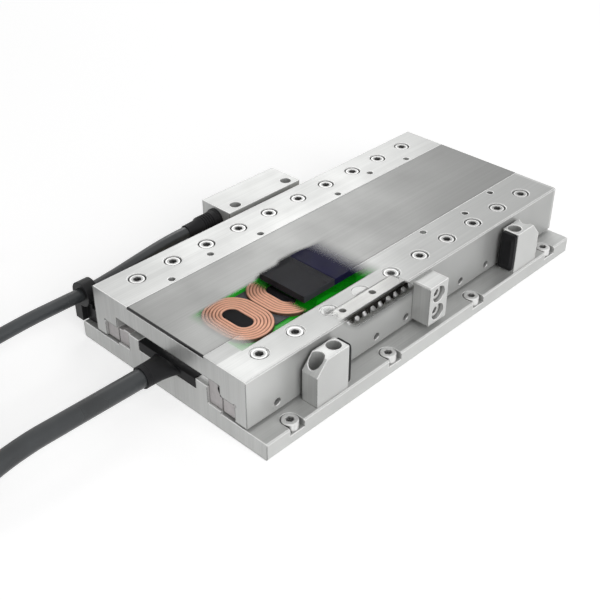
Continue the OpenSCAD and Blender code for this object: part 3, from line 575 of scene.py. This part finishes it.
def brushed_metal(name, c, metallic=0.5, rough=0.4, stretch=(30, 2600, 30), spread_of=0.09,
                  edge=1.0, window="", marks=""):
    """Machined or ground metal: grain along the cutter's path, blotches, a painted highlight on its
    edges and painted shade on its upright edges that face the cable end.
    """
    made, tree, shader = material(name)
    grain = use(tree, "Brushed grain", Stretch=stretch)
    edges = use(tree, "Edge catch", Radius=0.0006)
    blotch = use(tree, "Soft blotch", Scale=45.0)["Tone"]
    base = tone_colour(tree, grain["Tone"], c, 1 - spread_of, 1 + spread_of)
    base = overlay(tree, blotch, 0.12, base, rgba(c, 0.8))
    # Painted shade on the carriage's front side.
    if marks == "relief":
        base = painted_front_shade(tree, base)
    # Painted highlight on the edges, turned to painted shade on upright edges that face the cable end.
    rim = mix(tree, edges["Painted shade"], (0.97, 0.97, 0.96, 1), rgba(c, 0.3))
    base = overlay(tree, edges["Mask"], edge, base, rim)
    # Painted marks at the cable end: painted shade for the end faces' holes and the top corner, and the
    # cover's near-black end.
    if marks:
        base = end_marks(tree, base, marks)
    feed(tree, shader, {"Base Color": base,
                        "Metallic": mix(tree, edges["Mask"], metallic, 1.0, "FLOAT"),
                        "Roughness": spread(tree, blotch, 0, 1, rough - 0.05, rough + 0.06)})
    set_bump(tree, shader, grain["Height"], 0.1, 0.00002, edges["Normal"])
    if window:
        clear_window(tree, shader, window)
    return made


def painted_front_shade(tree, base):
    """Painted shade: a darker tone on the carriage's front side, away from the cable end."""
    x, y = axes(tree)[:2]
    front = maths(tree, "MULTIPLY", step(tree, y, *FRONT_SHADE_SPAN[0]), step(tree, x, *FRONT_SHADE_SPAN[1]),
                  maths(tree, "LESS_THAN", x, NEAR_END))
    return overlay(tree, front, 0.24, base, (0, 0, 0, 1))


def end_marks(tree, base, which):
    """Painted marks at the cable end. The cover's end is painted near black; the end faces get painted
    shade for their round holes, and the top face a painted shade on its corner beside the cut."""
    x, y, z = axes(tree)
    # The cover's last half millimetre and its end face are painted near black.
    if which == "dark_end":
        return mix(tree, maths(tree, "LESS_THAN", x, COVER_DARK_END), base, (0.03, 0.03, 0.03, 1))
    flat = add(tree, "ShaderNodeCombineXYZ", {1: y, 2: z}).outputs[0]

    def disc(mark):
        middle = (0, *mark[:2])
        away = add(tree, "ShaderNodeVectorMath", {0: flat, 1: middle}, operation="DISTANCE")
        return maths(tree, "LESS_THAN", away.outputs["Value"], mark[2])

    # Painted shade for the round holes in the end faces.
    moon = maths(tree, "SUBTRACT", disc(MOON[0]), disc(MOON[1]), clamp=True)
    dark = maths(tree, "MAXIMUM", moon, disc(DOT))
    dark = maths(tree, "MULTIPLY", dark, maths(tree, "LESS_THAN", x, -NEAR_END))
    base = mix(tree, dark, base, (0.006, 0.006, 0.006, 1))
    # Painted shade on the corner of the top face beside the cut.
    corner = maths(tree, "MULTIPLY", maths(tree, "LESS_THAN", x, -0.0705),
                   maths(tree, "GREATER_THAN", y, -0.0237), maths(tree, "LESS_THAN", y, -0.0178),
                   maths(tree, "GREATER_THAN", z, STAGE_TOP - 0.0003))
    return overlay(tree, corner, 0.3, base, (0.1, 0.1, 0.1, 1))


def clear_window(tree, shader, which):
    """Opens the phantom windows in a finish: to the eye, and wider to the light on what is inside."""
    window = use(tree, "Phantom window")
    clear = window["Inside"] if which == "inside" else window["Clear"]
    light = maths(tree, "MULTIPLY", any_ray(tree, "Shadow", "Diffuse", "Glossy"), window["Light"])
    see_through(tree, shader, maths(tree, "MAXIMUM", clear, light))


def moulded(name, c, rough=0.55, skin=2500.0, bump=0.15, coat=0.0, shine=0.2, fading=False):
    """Moulded rubber or plastic: fine skin, faint dust and a painted sheen at its edges."""
    made, tree, shader = material(name)
    texture = use(tree, "Moulded skin", Scale=skin)
    edges = use(tree, "Edge catch", Radius=0.0003)
    base = tone_colour(tree, texture["Tone"], c, 0.8, 1.35)
    # Painted sheen: the edges lighter than the rest.
    base = overlay(tree, edges["Mask"], 0.25, base, rgba(c, 4.0))
    feed(tree, shader, {"Base Color": base, "Coat Weight": coat, "Specular IOR Level": shine,
                        "Roughness": spread(tree, texture["Tone"], 0, 1, rough - 0.06, rough + 0.08)})
    set_bump(tree, shader, texture["Height"], bump, 0.00003, edges["Normal"])
    if fading:
        fade_to_board(tree, shader, -0.0305)
    return made


def cage_finish(name, c):
    """Cage strip: dark resin, with a pale toothed band painted along its lower half."""
    made, tree, shader = material(name)
    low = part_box("cage_front")[0].z
    tooth = add(tree, "ShaderNodeTexWave", {"Vector": here(tree), "Scale": 260.0},
                bands_direction="X")
    level = spread(tree, tooth.outputs[1], 0, 1, low + 0.0013, low + 0.0019)
    # A pale toothed band painted on the lower half.
    pale = maths(tree, "LESS_THAN", axes(tree)[2], level)
    texture = use(tree, "Moulded skin", Scale=2500.0)
    base = tone_colour(tree, texture["Tone"], c, 0.8, 1.35)
    feed(tree, shader, {"Base Color": mix(tree, pale, base, (0.6, 0.6, 0.57, 1)),
                        "Roughness": spread(tree, texture["Tone"], 0, 1, 0.44, 0.58),
                        "Specular IOR Level": 0.2})
    set_bump(tree, shader, texture["Height"], 0.15, 0.00003)
    return made


def copper_finish(name, c):
    """Enamelled wire: painted shade in the grooves between rings, a painted highlight on the crowns,
    small blotches.
    """
    made, tree, shader = material(name)
    low, high = (corner.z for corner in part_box("coils_u"))
    crown = step(tree, axes(tree)[2], low + 0.7 * (high - low), high)
    # Painted shade in the grooves and a painted highlight on the crowns, by height.
    base = mix(tree, crown, rgba(c, 0.25), rgba(c, 1.3))
    base = overlay(tree, use(tree, "Soft blotch", Scale=500.0)["Tone"], 0.25, base, rgba(c, 0.7))
    feed(tree, shader, {"Base Color": base, "Metallic": 0.6,
                        "Roughness": spread(tree, crown, 0, 1, 0.55, 0.36)})
    set_bump(tree, shader, noise(tree, here(tree), 3000.0, 2.0), 0.2, 0.00002)
    fade_to_board(tree, shader, -0.034)
    return made


def fade_to_board(tree, shader, start):
    """Lets the bare board show from the second coil on, as far as the window reaches."""
    x = axes(tree)[0]
    gone = maths(tree, "SUBTRACT", step(tree, x, start, start + FADE), step(tree, x, *BARE_BOARD))
    see_through(tree, shader, gone)


def board_finish(name, c):
    """Green board: solder mask over a faint weave of the laminate."""
    made, tree, shader = material(name)
    weave = add(tree, "ShaderNodeTexWave", {"Vector": here(tree), "Scale": 380.0, "Distortion": 1.5},
                bands_direction="DIAGONAL").outputs[1]
    blotch = use(tree, "Soft blotch", Scale=80.0)["Tone"]
    base = overlay(tree, weave, 0.12, tone_colour(tree, blotch, c, 0.85, 1.2), rgba(c, 1.5))
    feed(tree, shader, {"Base Color": base, "Roughness": spread(tree, blotch, 0, 1, 0.4, 0.55)})
    set_bump(tree, shader, weave, 0.08, 0.00003)
    return made


def scale_finish(name):
    """Encoder scale: gold tape with a fine graduation across it."""
    made, tree, shader = material(name)
    marks = add(tree, "ShaderNodeTexWave", {"Vector": here(tree), "Scale": 520.0},
                bands_direction="X").outputs[1]
    grain = use(tree, "Brushed grain", Stretch=(60, 900, 2600))["Tone"]
    base = tone_colour(tree, grain, (0.55, 0.42, 0.18), 0.85, 1.15)
    base = mix(tree, spread(tree, marks, 0.45, 0.55, 0, 0.45), base, (0.12, 0.09, 0.04, 1))
    feed(tree, shader, {"Base Color": base, "Metallic": 0.7,
                        "Roughness": spread(tree, grain, 0, 1, 0.3, 0.42)})
    return made


def dish_shade_mask(tree, x, y):
    """Painted shade on a shallow dished ring round the sockets of the rail screws, a row of them along
    each rail.
    """
    pitch = maths(tree, "PINGPONG", maths(tree, "SUBTRACT", x, SCREW_PITCH / 2), SCREW_PITCH / 2)
    across = maths(tree, "SUBTRACT", maths(tree, "ABSOLUTE", y), SCREW_ROW)
    flat = add(tree, "ShaderNodeCombineXYZ", {0: pitch, 1: across}).outputs[0]
    away = add(tree, "ShaderNodeVectorMath", {0: flat}, operation="LENGTH").outputs["Value"]
    return step(tree, away, *SCREW_DISH)


def screw_finish(name, c, dish_shade=False, cut=False):
    """Cap screws: turned grain, a painted highlight on the rims and painted shade in the socket.

    The phantom window takes one screw of the cut row away and leaves its neighbour faint."""
    made, tree, shader = material(name)
    grain = use(tree, "Brushed grain", Stretch=(1500, 1500, 200))
    edges = use(tree, "Edge catch", Radius=0.0002)
    socket_shade = add(tree, "ShaderNodeAmbientOcclusion", {"Distance": 0.0016}, samples=6).outputs["AO"]
    base = tone_colour(tree, grain["Tone"], c, 0.85, 1.1)
    x, y = axes(tree)[:2]
    if dish_shade:
        # Painted shade on the dished ring round the socket.
        base = overlay(tree, dish_shade_mask(tree, x, y), 0.75, base, rgba(c, 0.3))
    # Painted shade in the socket, where ambient occlusion finds a hollow.
    base = mix(tree, step(tree, socket_shade, 0.45, 0.85), rgba(c, 0.05), base)
    # Painted highlight on the rims.
    base = overlay(tree, edges["Mask"], 0.5, base, rgba(c, 1.25))
    feed(tree, shader, {"Base Color": base, "Metallic": 0.6,
                        "Roughness": spread(tree, grain["Tone"], 0, 1, 0.32, 0.44)})
    set_bump(tree, shader, grain["Height"], 0.1, 0.00002, edges["Normal"])
    if cut:
        gone = maths(tree, "MULTIPLY", spread(tree, x, *SCREW_GONE[0]),
                     spread(tree, x, *SCREW_GONE[1]), spread(tree, x, *SCREW_FAINT))
        clear = maths(tree, "MAXIMUM", gone, use(tree, "Phantom window", Skin_depth=0.0032)["Clear"])
        see_through(tree, shader, clear)
    return made


def dress(made, *nodes):
    """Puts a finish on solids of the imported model."""
    for name in nodes:
        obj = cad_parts[name]
        if not obj.material_slots:
            obj.data.materials.append(made)
        for slot in obj.material_slots:
            slot.material = made


def put(obj, finish, body, slot, *nodes):
    """Gives a new piece its finish and its body, and hides the solids it stands for; the slot is not
    used.
    """
    obj.data.materials.append(bpy.data.materials[finish])
    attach(obj, body)
    if nodes:
        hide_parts(*nodes)
    return obj


# ---------------- pieces

class STAGE_OT_camera(bpy.types.Operator):
    """Sets the camera in front of the cable end"""
    bl_idname = "stage_build.camera"
    bl_label = "Camera"

    def execute(self, context):
        s = context.scene.stage_camera
        data = bpy.data.cameras.new("camera")
        data.lens = s.focal
        data.sensor_width = 36
        data.clip_start = 0.01
        obj = in_scene("camera", data)
        a, e = s.azimuth, s.elevation
        back = Vector((math.sin(a) * math.cos(e), -math.cos(a) * math.cos(e), math.sin(e)))
        obj.location = s.place
        obj.rotation_euler = (-back).to_track_quat("-Z", "Y").to_euler()
        context.scene.camera = obj
        return {"FINISHED"}


def cable(which, route, tail, start, end, towards, plug_r, plug_l, s):
    """A cable with its coil, the strap on the coil's far side and the plug at its tip."""
    d, long, outer, inner = (getattr(s, f"{which}_{size}") for size in ("d", "l", "outer", "inner"))
    centre, turns = coil_turns(route[-1], start, end, outer, inner, tail[0][2], d, s.strap_t)
    path = smooth_path(np.concatenate([route[:-1], turns[:-1], tail]), 0.0012)
    path[:, 2] = np.maximum(path[:, 2], d / 2)
    name = f"{which}_cable_run"
    run = put(piece(name, tube(path, d)), "Cable jacket", "base", "cable_jacket", f"{which}_cable",
              f"{which}_cable_coil")
    heading = np.round(unit(path[-1] - path[-2]))
    parts = plug(f"{name}_plug", path[-1], heading, plug_r, plug_l, f"{which}_connector")
    middle = (outer + inner) / 2
    hold = (centre[0] + middle * towards[0], centre[1] + middle * towards[1], d / 2 + s.strap_t)
    band = piece(f"{name}_strap", strap_band(hold, towards, d, d / 2, s.strap_t, s.strap_w),
                 wrap_rows=True)
    put(band, "Strap", "base", "boot_rubber")


def plug(name, tip, heading, r, long, node):
    """Round connector: back nut, body with grip rings, knurled coupling ring and an open nose.

    Its steps follow the solid, each edge with a small round, as parts of its length and radius."""
    steps = [(0, 0.0), (0, 0.58), (0.012, 0.66), (0.035, 0.7), (0.05, 0.7)]
    for k in range(4):
        at = 0.05 + 0.025 * k
        steps += [(at, 0.7), (at + 0.006, 0.62), (at + 0.016, 0.62), (at + 0.022, 0.7)]
    steps += [(0.155, 0.7), (0.165, 0.82), (0.175, 0.85), (0.36, 0.85), (0.37, 0.83), (0.4, 0.83),
              (0.41, 0.85), (0.53, 0.85), (0.54, 0.84), (0.555, 0.93), (0.57, 0.99)]
    steps += [(0.57 + 0.013 * k, 1.0) for k in range(1, 21)]
    steps += [(0.84, 0.97), (0.85, 0.9), (0.853, 0.8), (0.985, 0.8), (1, 0.77), (1, 0.68),
              (0.99, 0.66), (0.9, 0.66), (0.9, 0.0)]
    profile = np.array(steps) * (long, r)

    def ridge(at):
        return 0.07 * r * ((at > 0.575 * long) & (at < 0.835 * long))

    shell = piece(name, turned_part(profile, tip, heading, 120, ridge), ends=False)
    put(shell, "Nickel plate", "base", "connector_metal", node)
    insert = np.array([(0.89, 0.0), (0.89, 0.62), (0.955, 0.62), (0.965, 0.6), (0.965, 0.0)])
    core = piece(f"{name}_insert", turned_part(insert * (long, r), tip, heading, 48), ends=False)
    put(core, "Moulded black", "base", "boot_rubber")
    side = unit(np.cross((0, 0, 1), heading))
    up = np.cross(heading, side)
    pin = np.array([(0, 0.0), (0, 0.07), (0.032, 0.07), (0.038, 0.04), (0.038, 0.0)]) * (long, r)
    pins = []
    for i, a in enumerate(np.radians(np.arange(0, 360, 60))):
        foot = tip + heading * long * 0.95 + 0.36 * r * (math.cos(a) * side + math.sin(a) * up)
        pins.append(piece(f"{name}_pin_{i}", turned_part(pin, foot, heading, 12), ends=False))
    contact = merge(f"{name}_pins", pins)
    put(contact, "Gold contact", "base", "connector_metal")
    return [shell, core, contact]


class STAGE_OT_motor_cable(bpy.types.Operator):
    """Makes the motor cable, its coil, strap and plug"""
    bl_idname = "stage_build.motor_cable"
    bl_label = "Motor cable"

    def execute(self, context):
        cable("motor", MOTOR_ROUTE, MOTOR_TAIL, -90, 810, (0, 1, 0), 0.0064, 0.028,
              context.scene.stage_cables)
        return {"FINISHED"}


class STAGE_OT_encoder_cable(bpy.types.Operator):
    """Makes the encoder cable, its coil, strap and plug"""
    bl_idname = "stage_build.encoder_cable"
    bl_label = "Encoder cable"

    def execute(self, context):
        cable("encoder", ENCODER_ROUTE, ENCODER_TAIL, 205, 835, (1, 0, 0), 0.005, 0.022,
              context.scene.stage_cables)
        return {"FINISHED"}


class STAGE_OT_windings(bpy.types.Operator):
    """Makes the racetrack coils of the three phases"""
    bl_idname = "stage_build.windings"
    bl_label = "Windings"

    def execute(self, context):
        m = context.scene.stage_motor
        low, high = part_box("coils_u")
        first = -2.5 * m.coil_pitch
        for k, phase in enumerate("uvw"):
            centres = (first + k * m.coil_pitch, first + (k + 3) * m.coil_pitch)
            obj = merge(f"winding_{phase}", [
                piece(f"winding_{phase}_{i}", winding(c, low.z, high.z - low.z, m), wrap_rows=True)
                for i, c in enumerate(centres)])
            obj.data.set_sharp_from_angle(angle=math.radians(50))
            put(obj, "Enamelled copper", "base", "copper_wire", f"coils_{phase}")
        return {"FINISHED"}


class STAGE_OT_boots(bpy.types.Operator):
    """Makes the boots where the cables leave their housings"""
    bl_idname = "stage_build.boots"
    bl_label = "Cable boots"

    def execute(self, context):
        m = context.scene.stage_motor
        low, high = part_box("motor_strain_relief")
        t = np.linspace(0, 1, 41)
        flare = (1 - t) ** 2.4
        wide = BOOT_COLLAR + (high.y - BOOT_COLLAR) * flare
        root = (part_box("motor_body")[0].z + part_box("motor_body")[1].z) / 2
        tall = BOOT_COLLAR + (BOOT_ROOT - BOOT_COLLAR) * flare
        z = root + (MOTOR_ROUTE[0][2] - root) * np.minimum(1, 2 * t)
        rib = 0.00025 * ((t > 0.80) & (t < 0.84))
        c, s = np.cos(circle(56))[None], np.sin(circle(56))[None]
        x = np.broadcast_to((high.x - t * m.boot_length)[:, None], (41, 56))
        points = np.stack([x, (wide - rib)[:, None] * c, z[:, None] + (tall - rib)[:, None] * s], -1)
        put(piece("motor_boot", points), "Moulded black", "base", "boot_rubber", "motor_strain_relief")

        low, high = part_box("encoder_grommet")
        r = (high.z - low.z) / 2
        steps = [(0, 0), (0, r), (0.0011, r), (0.0014, r - 0.0003), (0.0022, 0.00365), (0.0028, 0.0035)]
        for k in range(5):
            at = 0.0032 + 0.001 * k
            steps += [(at, 0.0035), (at + 0.0002, 0.0031), (at + 0.0006, 0.0031), (at + 0.0008, 0.0035)]
        steps += [(0.0085, 0.0034), (0.0092, 0.0029), (0.0144, 0.0027), (0.0144, 0)]
        origin = (high.x, (low.y + high.y) / 2, (low.z + high.z) / 2)
        grommet = piece("encoder_boot", turned_part(steps, origin, (-1, 0, 0), 48), ends=False)
        put(grommet, "Moulded black", "base", "boot_rubber", "encoder_grommet")
        return {"FINISHED"}


def bumper_pad(node, side):
    """A moulded pad on a stop's face: superellipse outline |u|^8 + |v|^8 = 1, a thin rim, and a
    crown that rises from the rim by a smooth step over the outer third."""
    low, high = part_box(node)
    thick, rim = high.x - low.x, 0.0013
    foot = low.x if side < 0 else high.x
    r = np.concatenate([[1.0, 1.0, 0.985, 0.95], np.linspace(0.92, 0.0, 24)])
    lift = rim * np.array([0, 0.8, 0.97, 1.0])
    lift = np.concatenate([lift, rim + (thick - rim) * ease((0.92 - r[4:]) / 0.3)])
    c, s = superellipse(96, 0.25)
    y = (low.y + high.y) / 2 + (high.y - low.y) / 2 * r[:, None] * c
    z = (low.z + high.z) / 2 + (high.z - low.z) / 2 * r[:, None] * s
    x = np.broadcast_to((foot - side * lift)[:, None], y.shape)
    pad = piece(f"{node}_pad", np.stack([x, y, z], -1))
    return put(pad, "Bumper rubber", "base", "bumper_rubber", node)


class STAGE_OT_bumpers(bpy.types.Operator):
    """Makes the rubber pads on the stops"""
    bl_idname = "stage_build.bumpers"
    bl_label = "Bumpers"

    def execute(self, context):
        bumper_pad("bumper_left", -1)
        bumper_pad("bumper_right", 1)
        return {"FINISHED"}


class STAGE_OT_finishes(bpy.types.Operator):
    """Makes the finishes and puts them on the solids"""
    bl_idname = "stage_build.finishes"
    bl_label = "Finishes"

    def execute(self, context):
        f = context.scene.stage_finish
        make_groups()
        dress(brushed_metal("Machined aluminium", f.aluminium), "base_plate", "stop_left",
              "stop_right", "encoder_box", "stop_dog")
        dress(brushed_metal("Carriage aluminium", f.aluminium, window="surface", marks="relief"),
              "carriage")
        dress(brushed_metal("Cover steel", f.cover, metallic=0.6, rough=0.38, spread_of=0.08,
                            stretch=(16, 3200, 16), edge=0.0, window="surface", marks="dark_end"),
              "centre_cover")
        dress(brushed_metal("Yoke steel", f.cover, window="inside"), "magnet_yoke")
        dress(brushed_metal("Rail steel", f.rail, metallic=0.5, rough=0.42), "inner_rail_front",
              "inner_rail_rear", "outer_rail_rear")
        dress(brushed_metal("Cut rail steel", f.rail, metallic=0.7, rough=0.3, window="inside"),
              "outer_rail_front")
        dress(brushed_metal("Rail end steel", f.rail_end, metallic=0.4, rough=0.5,
                            stretch=(900, 900, 900), marks="relief"), "base_rail_ends",
              "carriage_rail_ends")
        dress(screw_finish("Bright screw", f.screw), "flange_screws", "stop_left_screws",
              "stop_right_screws", "cable_clip_screw", "stop_dog_screws")
        dress(screw_finish("Rail screw", f.screw, dish_shade=True), "rail_screws_rear")
        dress(screw_finish("Cut screw", f.screw, dish_shade=True, cut=True), "rail_screws_front")
        dress(screw_finish("Black screw", f.dark_screw), "inner_rail_screws", "encoder_box_screws")
        dress(screw_finish("Set screw", (0.42, 0.42, 0.43)), "preload_screws")
        dress(brushed_metal("Roller steel", (0.95, 0.95, 0.94), metallic=0.6, rough=0.3, edge=0.1),
              "rollers_front", "rollers_rear")
        dress(cage_finish("Cage resin", (0.04, 0.037, 0.033)), "cage_front", "cage_rear")
        dress(moulded("Motor resin", f.rubber, rough=0.4, shine=0.1), "motor_body")
        dress(moulded("Core resin", f.rubber, rough=0.5, shine=0.05, fading=True), "coil_cores")
        dress(moulded("Carrier grey", (0.07, 0.075, 0.08), rough=0.5, fading=True), "coil_carrier")
        dress(moulded("Bumper rubber", f.rubber, rough=0.5, shine=0.15), "bumper_left", "bumper_right")
        dress(moulded("Clip plastic", (0.016, 0.016, 0.017), rough=0.42), "cable_clip")
        dress(moulded("Reading window", (0.01, 0.01, 0.014), rough=0.2, coat=0.6), "encoder_read_head")
        dress(moulded("Magnet coat", f.magnet, rough=0.4, skin=1800.0, shine=0.08), "magnets_north")
        dress(moulded("Indigo magnet coat", f.magnet_second, rough=0.4, skin=1800.0, shine=0.04),
              "magnets_south")
        dress(board_finish("Circuit board", f.board), "coil_board")
        dress(scale_finish("Scale tape"), "encoder_scale")
        moulded("Moulded black", f.rubber, rough=0.5)
        moulded("Strap", (0.02, 0.02, 0.021), rough=0.6, skin=1500.0, bump=0.4)
        moulded("Cable jacket", f.jacket, rough=0.3, skin=900.0, bump=0.08, shine=0.5)
        copper_finish("Enamelled copper", f.copper)
        brushed_metal("Nickel plate", (0.62, 0.62, 0.60), metallic=0.9, rough=0.3,
                      stretch=(800, 800, 800), spread_of=0.06)
        brushed_metal("Gold contact", (0.7, 0.5, 0.16), metallic=0.9, rough=0.25)
        return {"FINISHED"}


class STAGE_OT_studio(bpy.types.Operator):
    """Makes the floor, the lamps and the even light"""
    bl_idname = "stage_build.studio"
    bl_label = "Studio"

    def execute(self, context):
        s = context.scene.stage_studio
        grid = np.array([[(x, y, -SEAT_GAP) for x in (-4.0, 4.0)] for y in (-4.0, 4.0)])
        floor = piece("floor", grid, wrap_cols=False, ends=False, smooth=False)
        made, tree, shader = material("Floor")
        blotch = add(tree, "ShaderNodeTexNoise", {"Scale": 6.0}).outputs[0]
        feed(tree, shader, {"Base Color": tone_colour(tree, blotch, s.floor, 0.99, 1.01),
                            "Roughness": 0.9, "Specular IOR Level": 0.0})
        seen = any_ray(tree, "Camera", "Glossy", "Transmission")
        glow = add(tree, "ShaderNodeEmission", {"Strength": maths(tree, "MULTIPLY", seen, 0.5)})
        both = add(tree, "ShaderNodeAddShader", {0: shader.outputs[0], 1: glow.outputs[0]})
        tree.links.new(both.outputs[0], tree.nodes["Material Output"].inputs["Surface"])
        floor.data.materials.append(made)

        world = context.scene.world or bpy.data.worlds.new("world")
        context.scene.world = world
        world.use_nodes = True
        tree = world.node_tree
        seen = any_ray(tree, "Camera", "Glossy", "Transmission")
        feed(tree, tree.nodes["Background"], {"Color": (1, 1, 1, 1),
                                              "Strength": mix(tree, seen, s.ambient, 1.0, "FLOAT")})

        key = self.lamp("key", (-0.22, -0.95, 0.5), 1.0, s.key_power)
        key.visible_glossy = False     # or it would lie on the ground metal as a white sheet
        self.lamp("sheen", (0.56, 0.60, 0.62), 0.35, s.sheen_power)
        context.scene.view_settings.view_transform = "Standard"
        context.scene.cycles.transparent_max_bounces = 48
        return {"FINISHED"}

    def lamp(self, name, place, size, power):
        """A square lamp that faces the middle of the stage."""
        data = bpy.data.lights.new(name, "AREA")
        data.shape = "SQUARE"
        data.size = size
        data.energy = power
        obj = in_scene(name, data)
        obj.location = place
        obj.rotation_euler = (-Vector(place)).to_track_quat("-Z", "Y").to_euler()
        return obj


OPERATORS = [
    STAGE_OT_camera, STAGE_OT_finishes, STAGE_OT_motor_cable, STAGE_OT_encoder_cable,
    STAGE_OT_windings, STAGE_OT_boots, STAGE_OT_bumpers, STAGE_OT_studio,
]


class STAGE_PT_panel(bpy.types.Panel):
    """Lists the pieces of the stage and their sizes"""
    bl_label = "Linear motor stage"
    bl_idname = "STAGE_PT_panel"
    bl_space_type = "VIEW_3D"
    bl_region_type = "UI"
    bl_category = "Stage"

    def draw(self, context):
        for operator in OPERATORS:
            self.layout.operator(operator.bl_idname)
        for name, kind in SETTINGS.items():
            box = self.layout.box()
            for prop in kind.__annotations__:
                box.prop(getattr(context.scene, name), prop)


def register():
    for kind in (*SETTINGS.values(), *OPERATORS, STAGE_PT_panel):
        bpy.utils.register_class(kind)
    for name, kind in SETTINGS.items():
        setattr(bpy.types.Scene, name, PointerProperty(type=kind))


def unregister():
    for name in SETTINGS:
        delattr(bpy.types.Scene, name)
    for kind in (STAGE_PT_panel, *reversed(OPERATORS), *SETTINGS.values()):
        bpy.utils.unregister_class(kind)


def main():
    """Registers the add-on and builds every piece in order."""
    register()
    for operator in OPERATORS:
        getattr(bpy.ops.stage_build, operator.bl_idname.split(".")[1])()


if __name__ == "__main__":
    main()
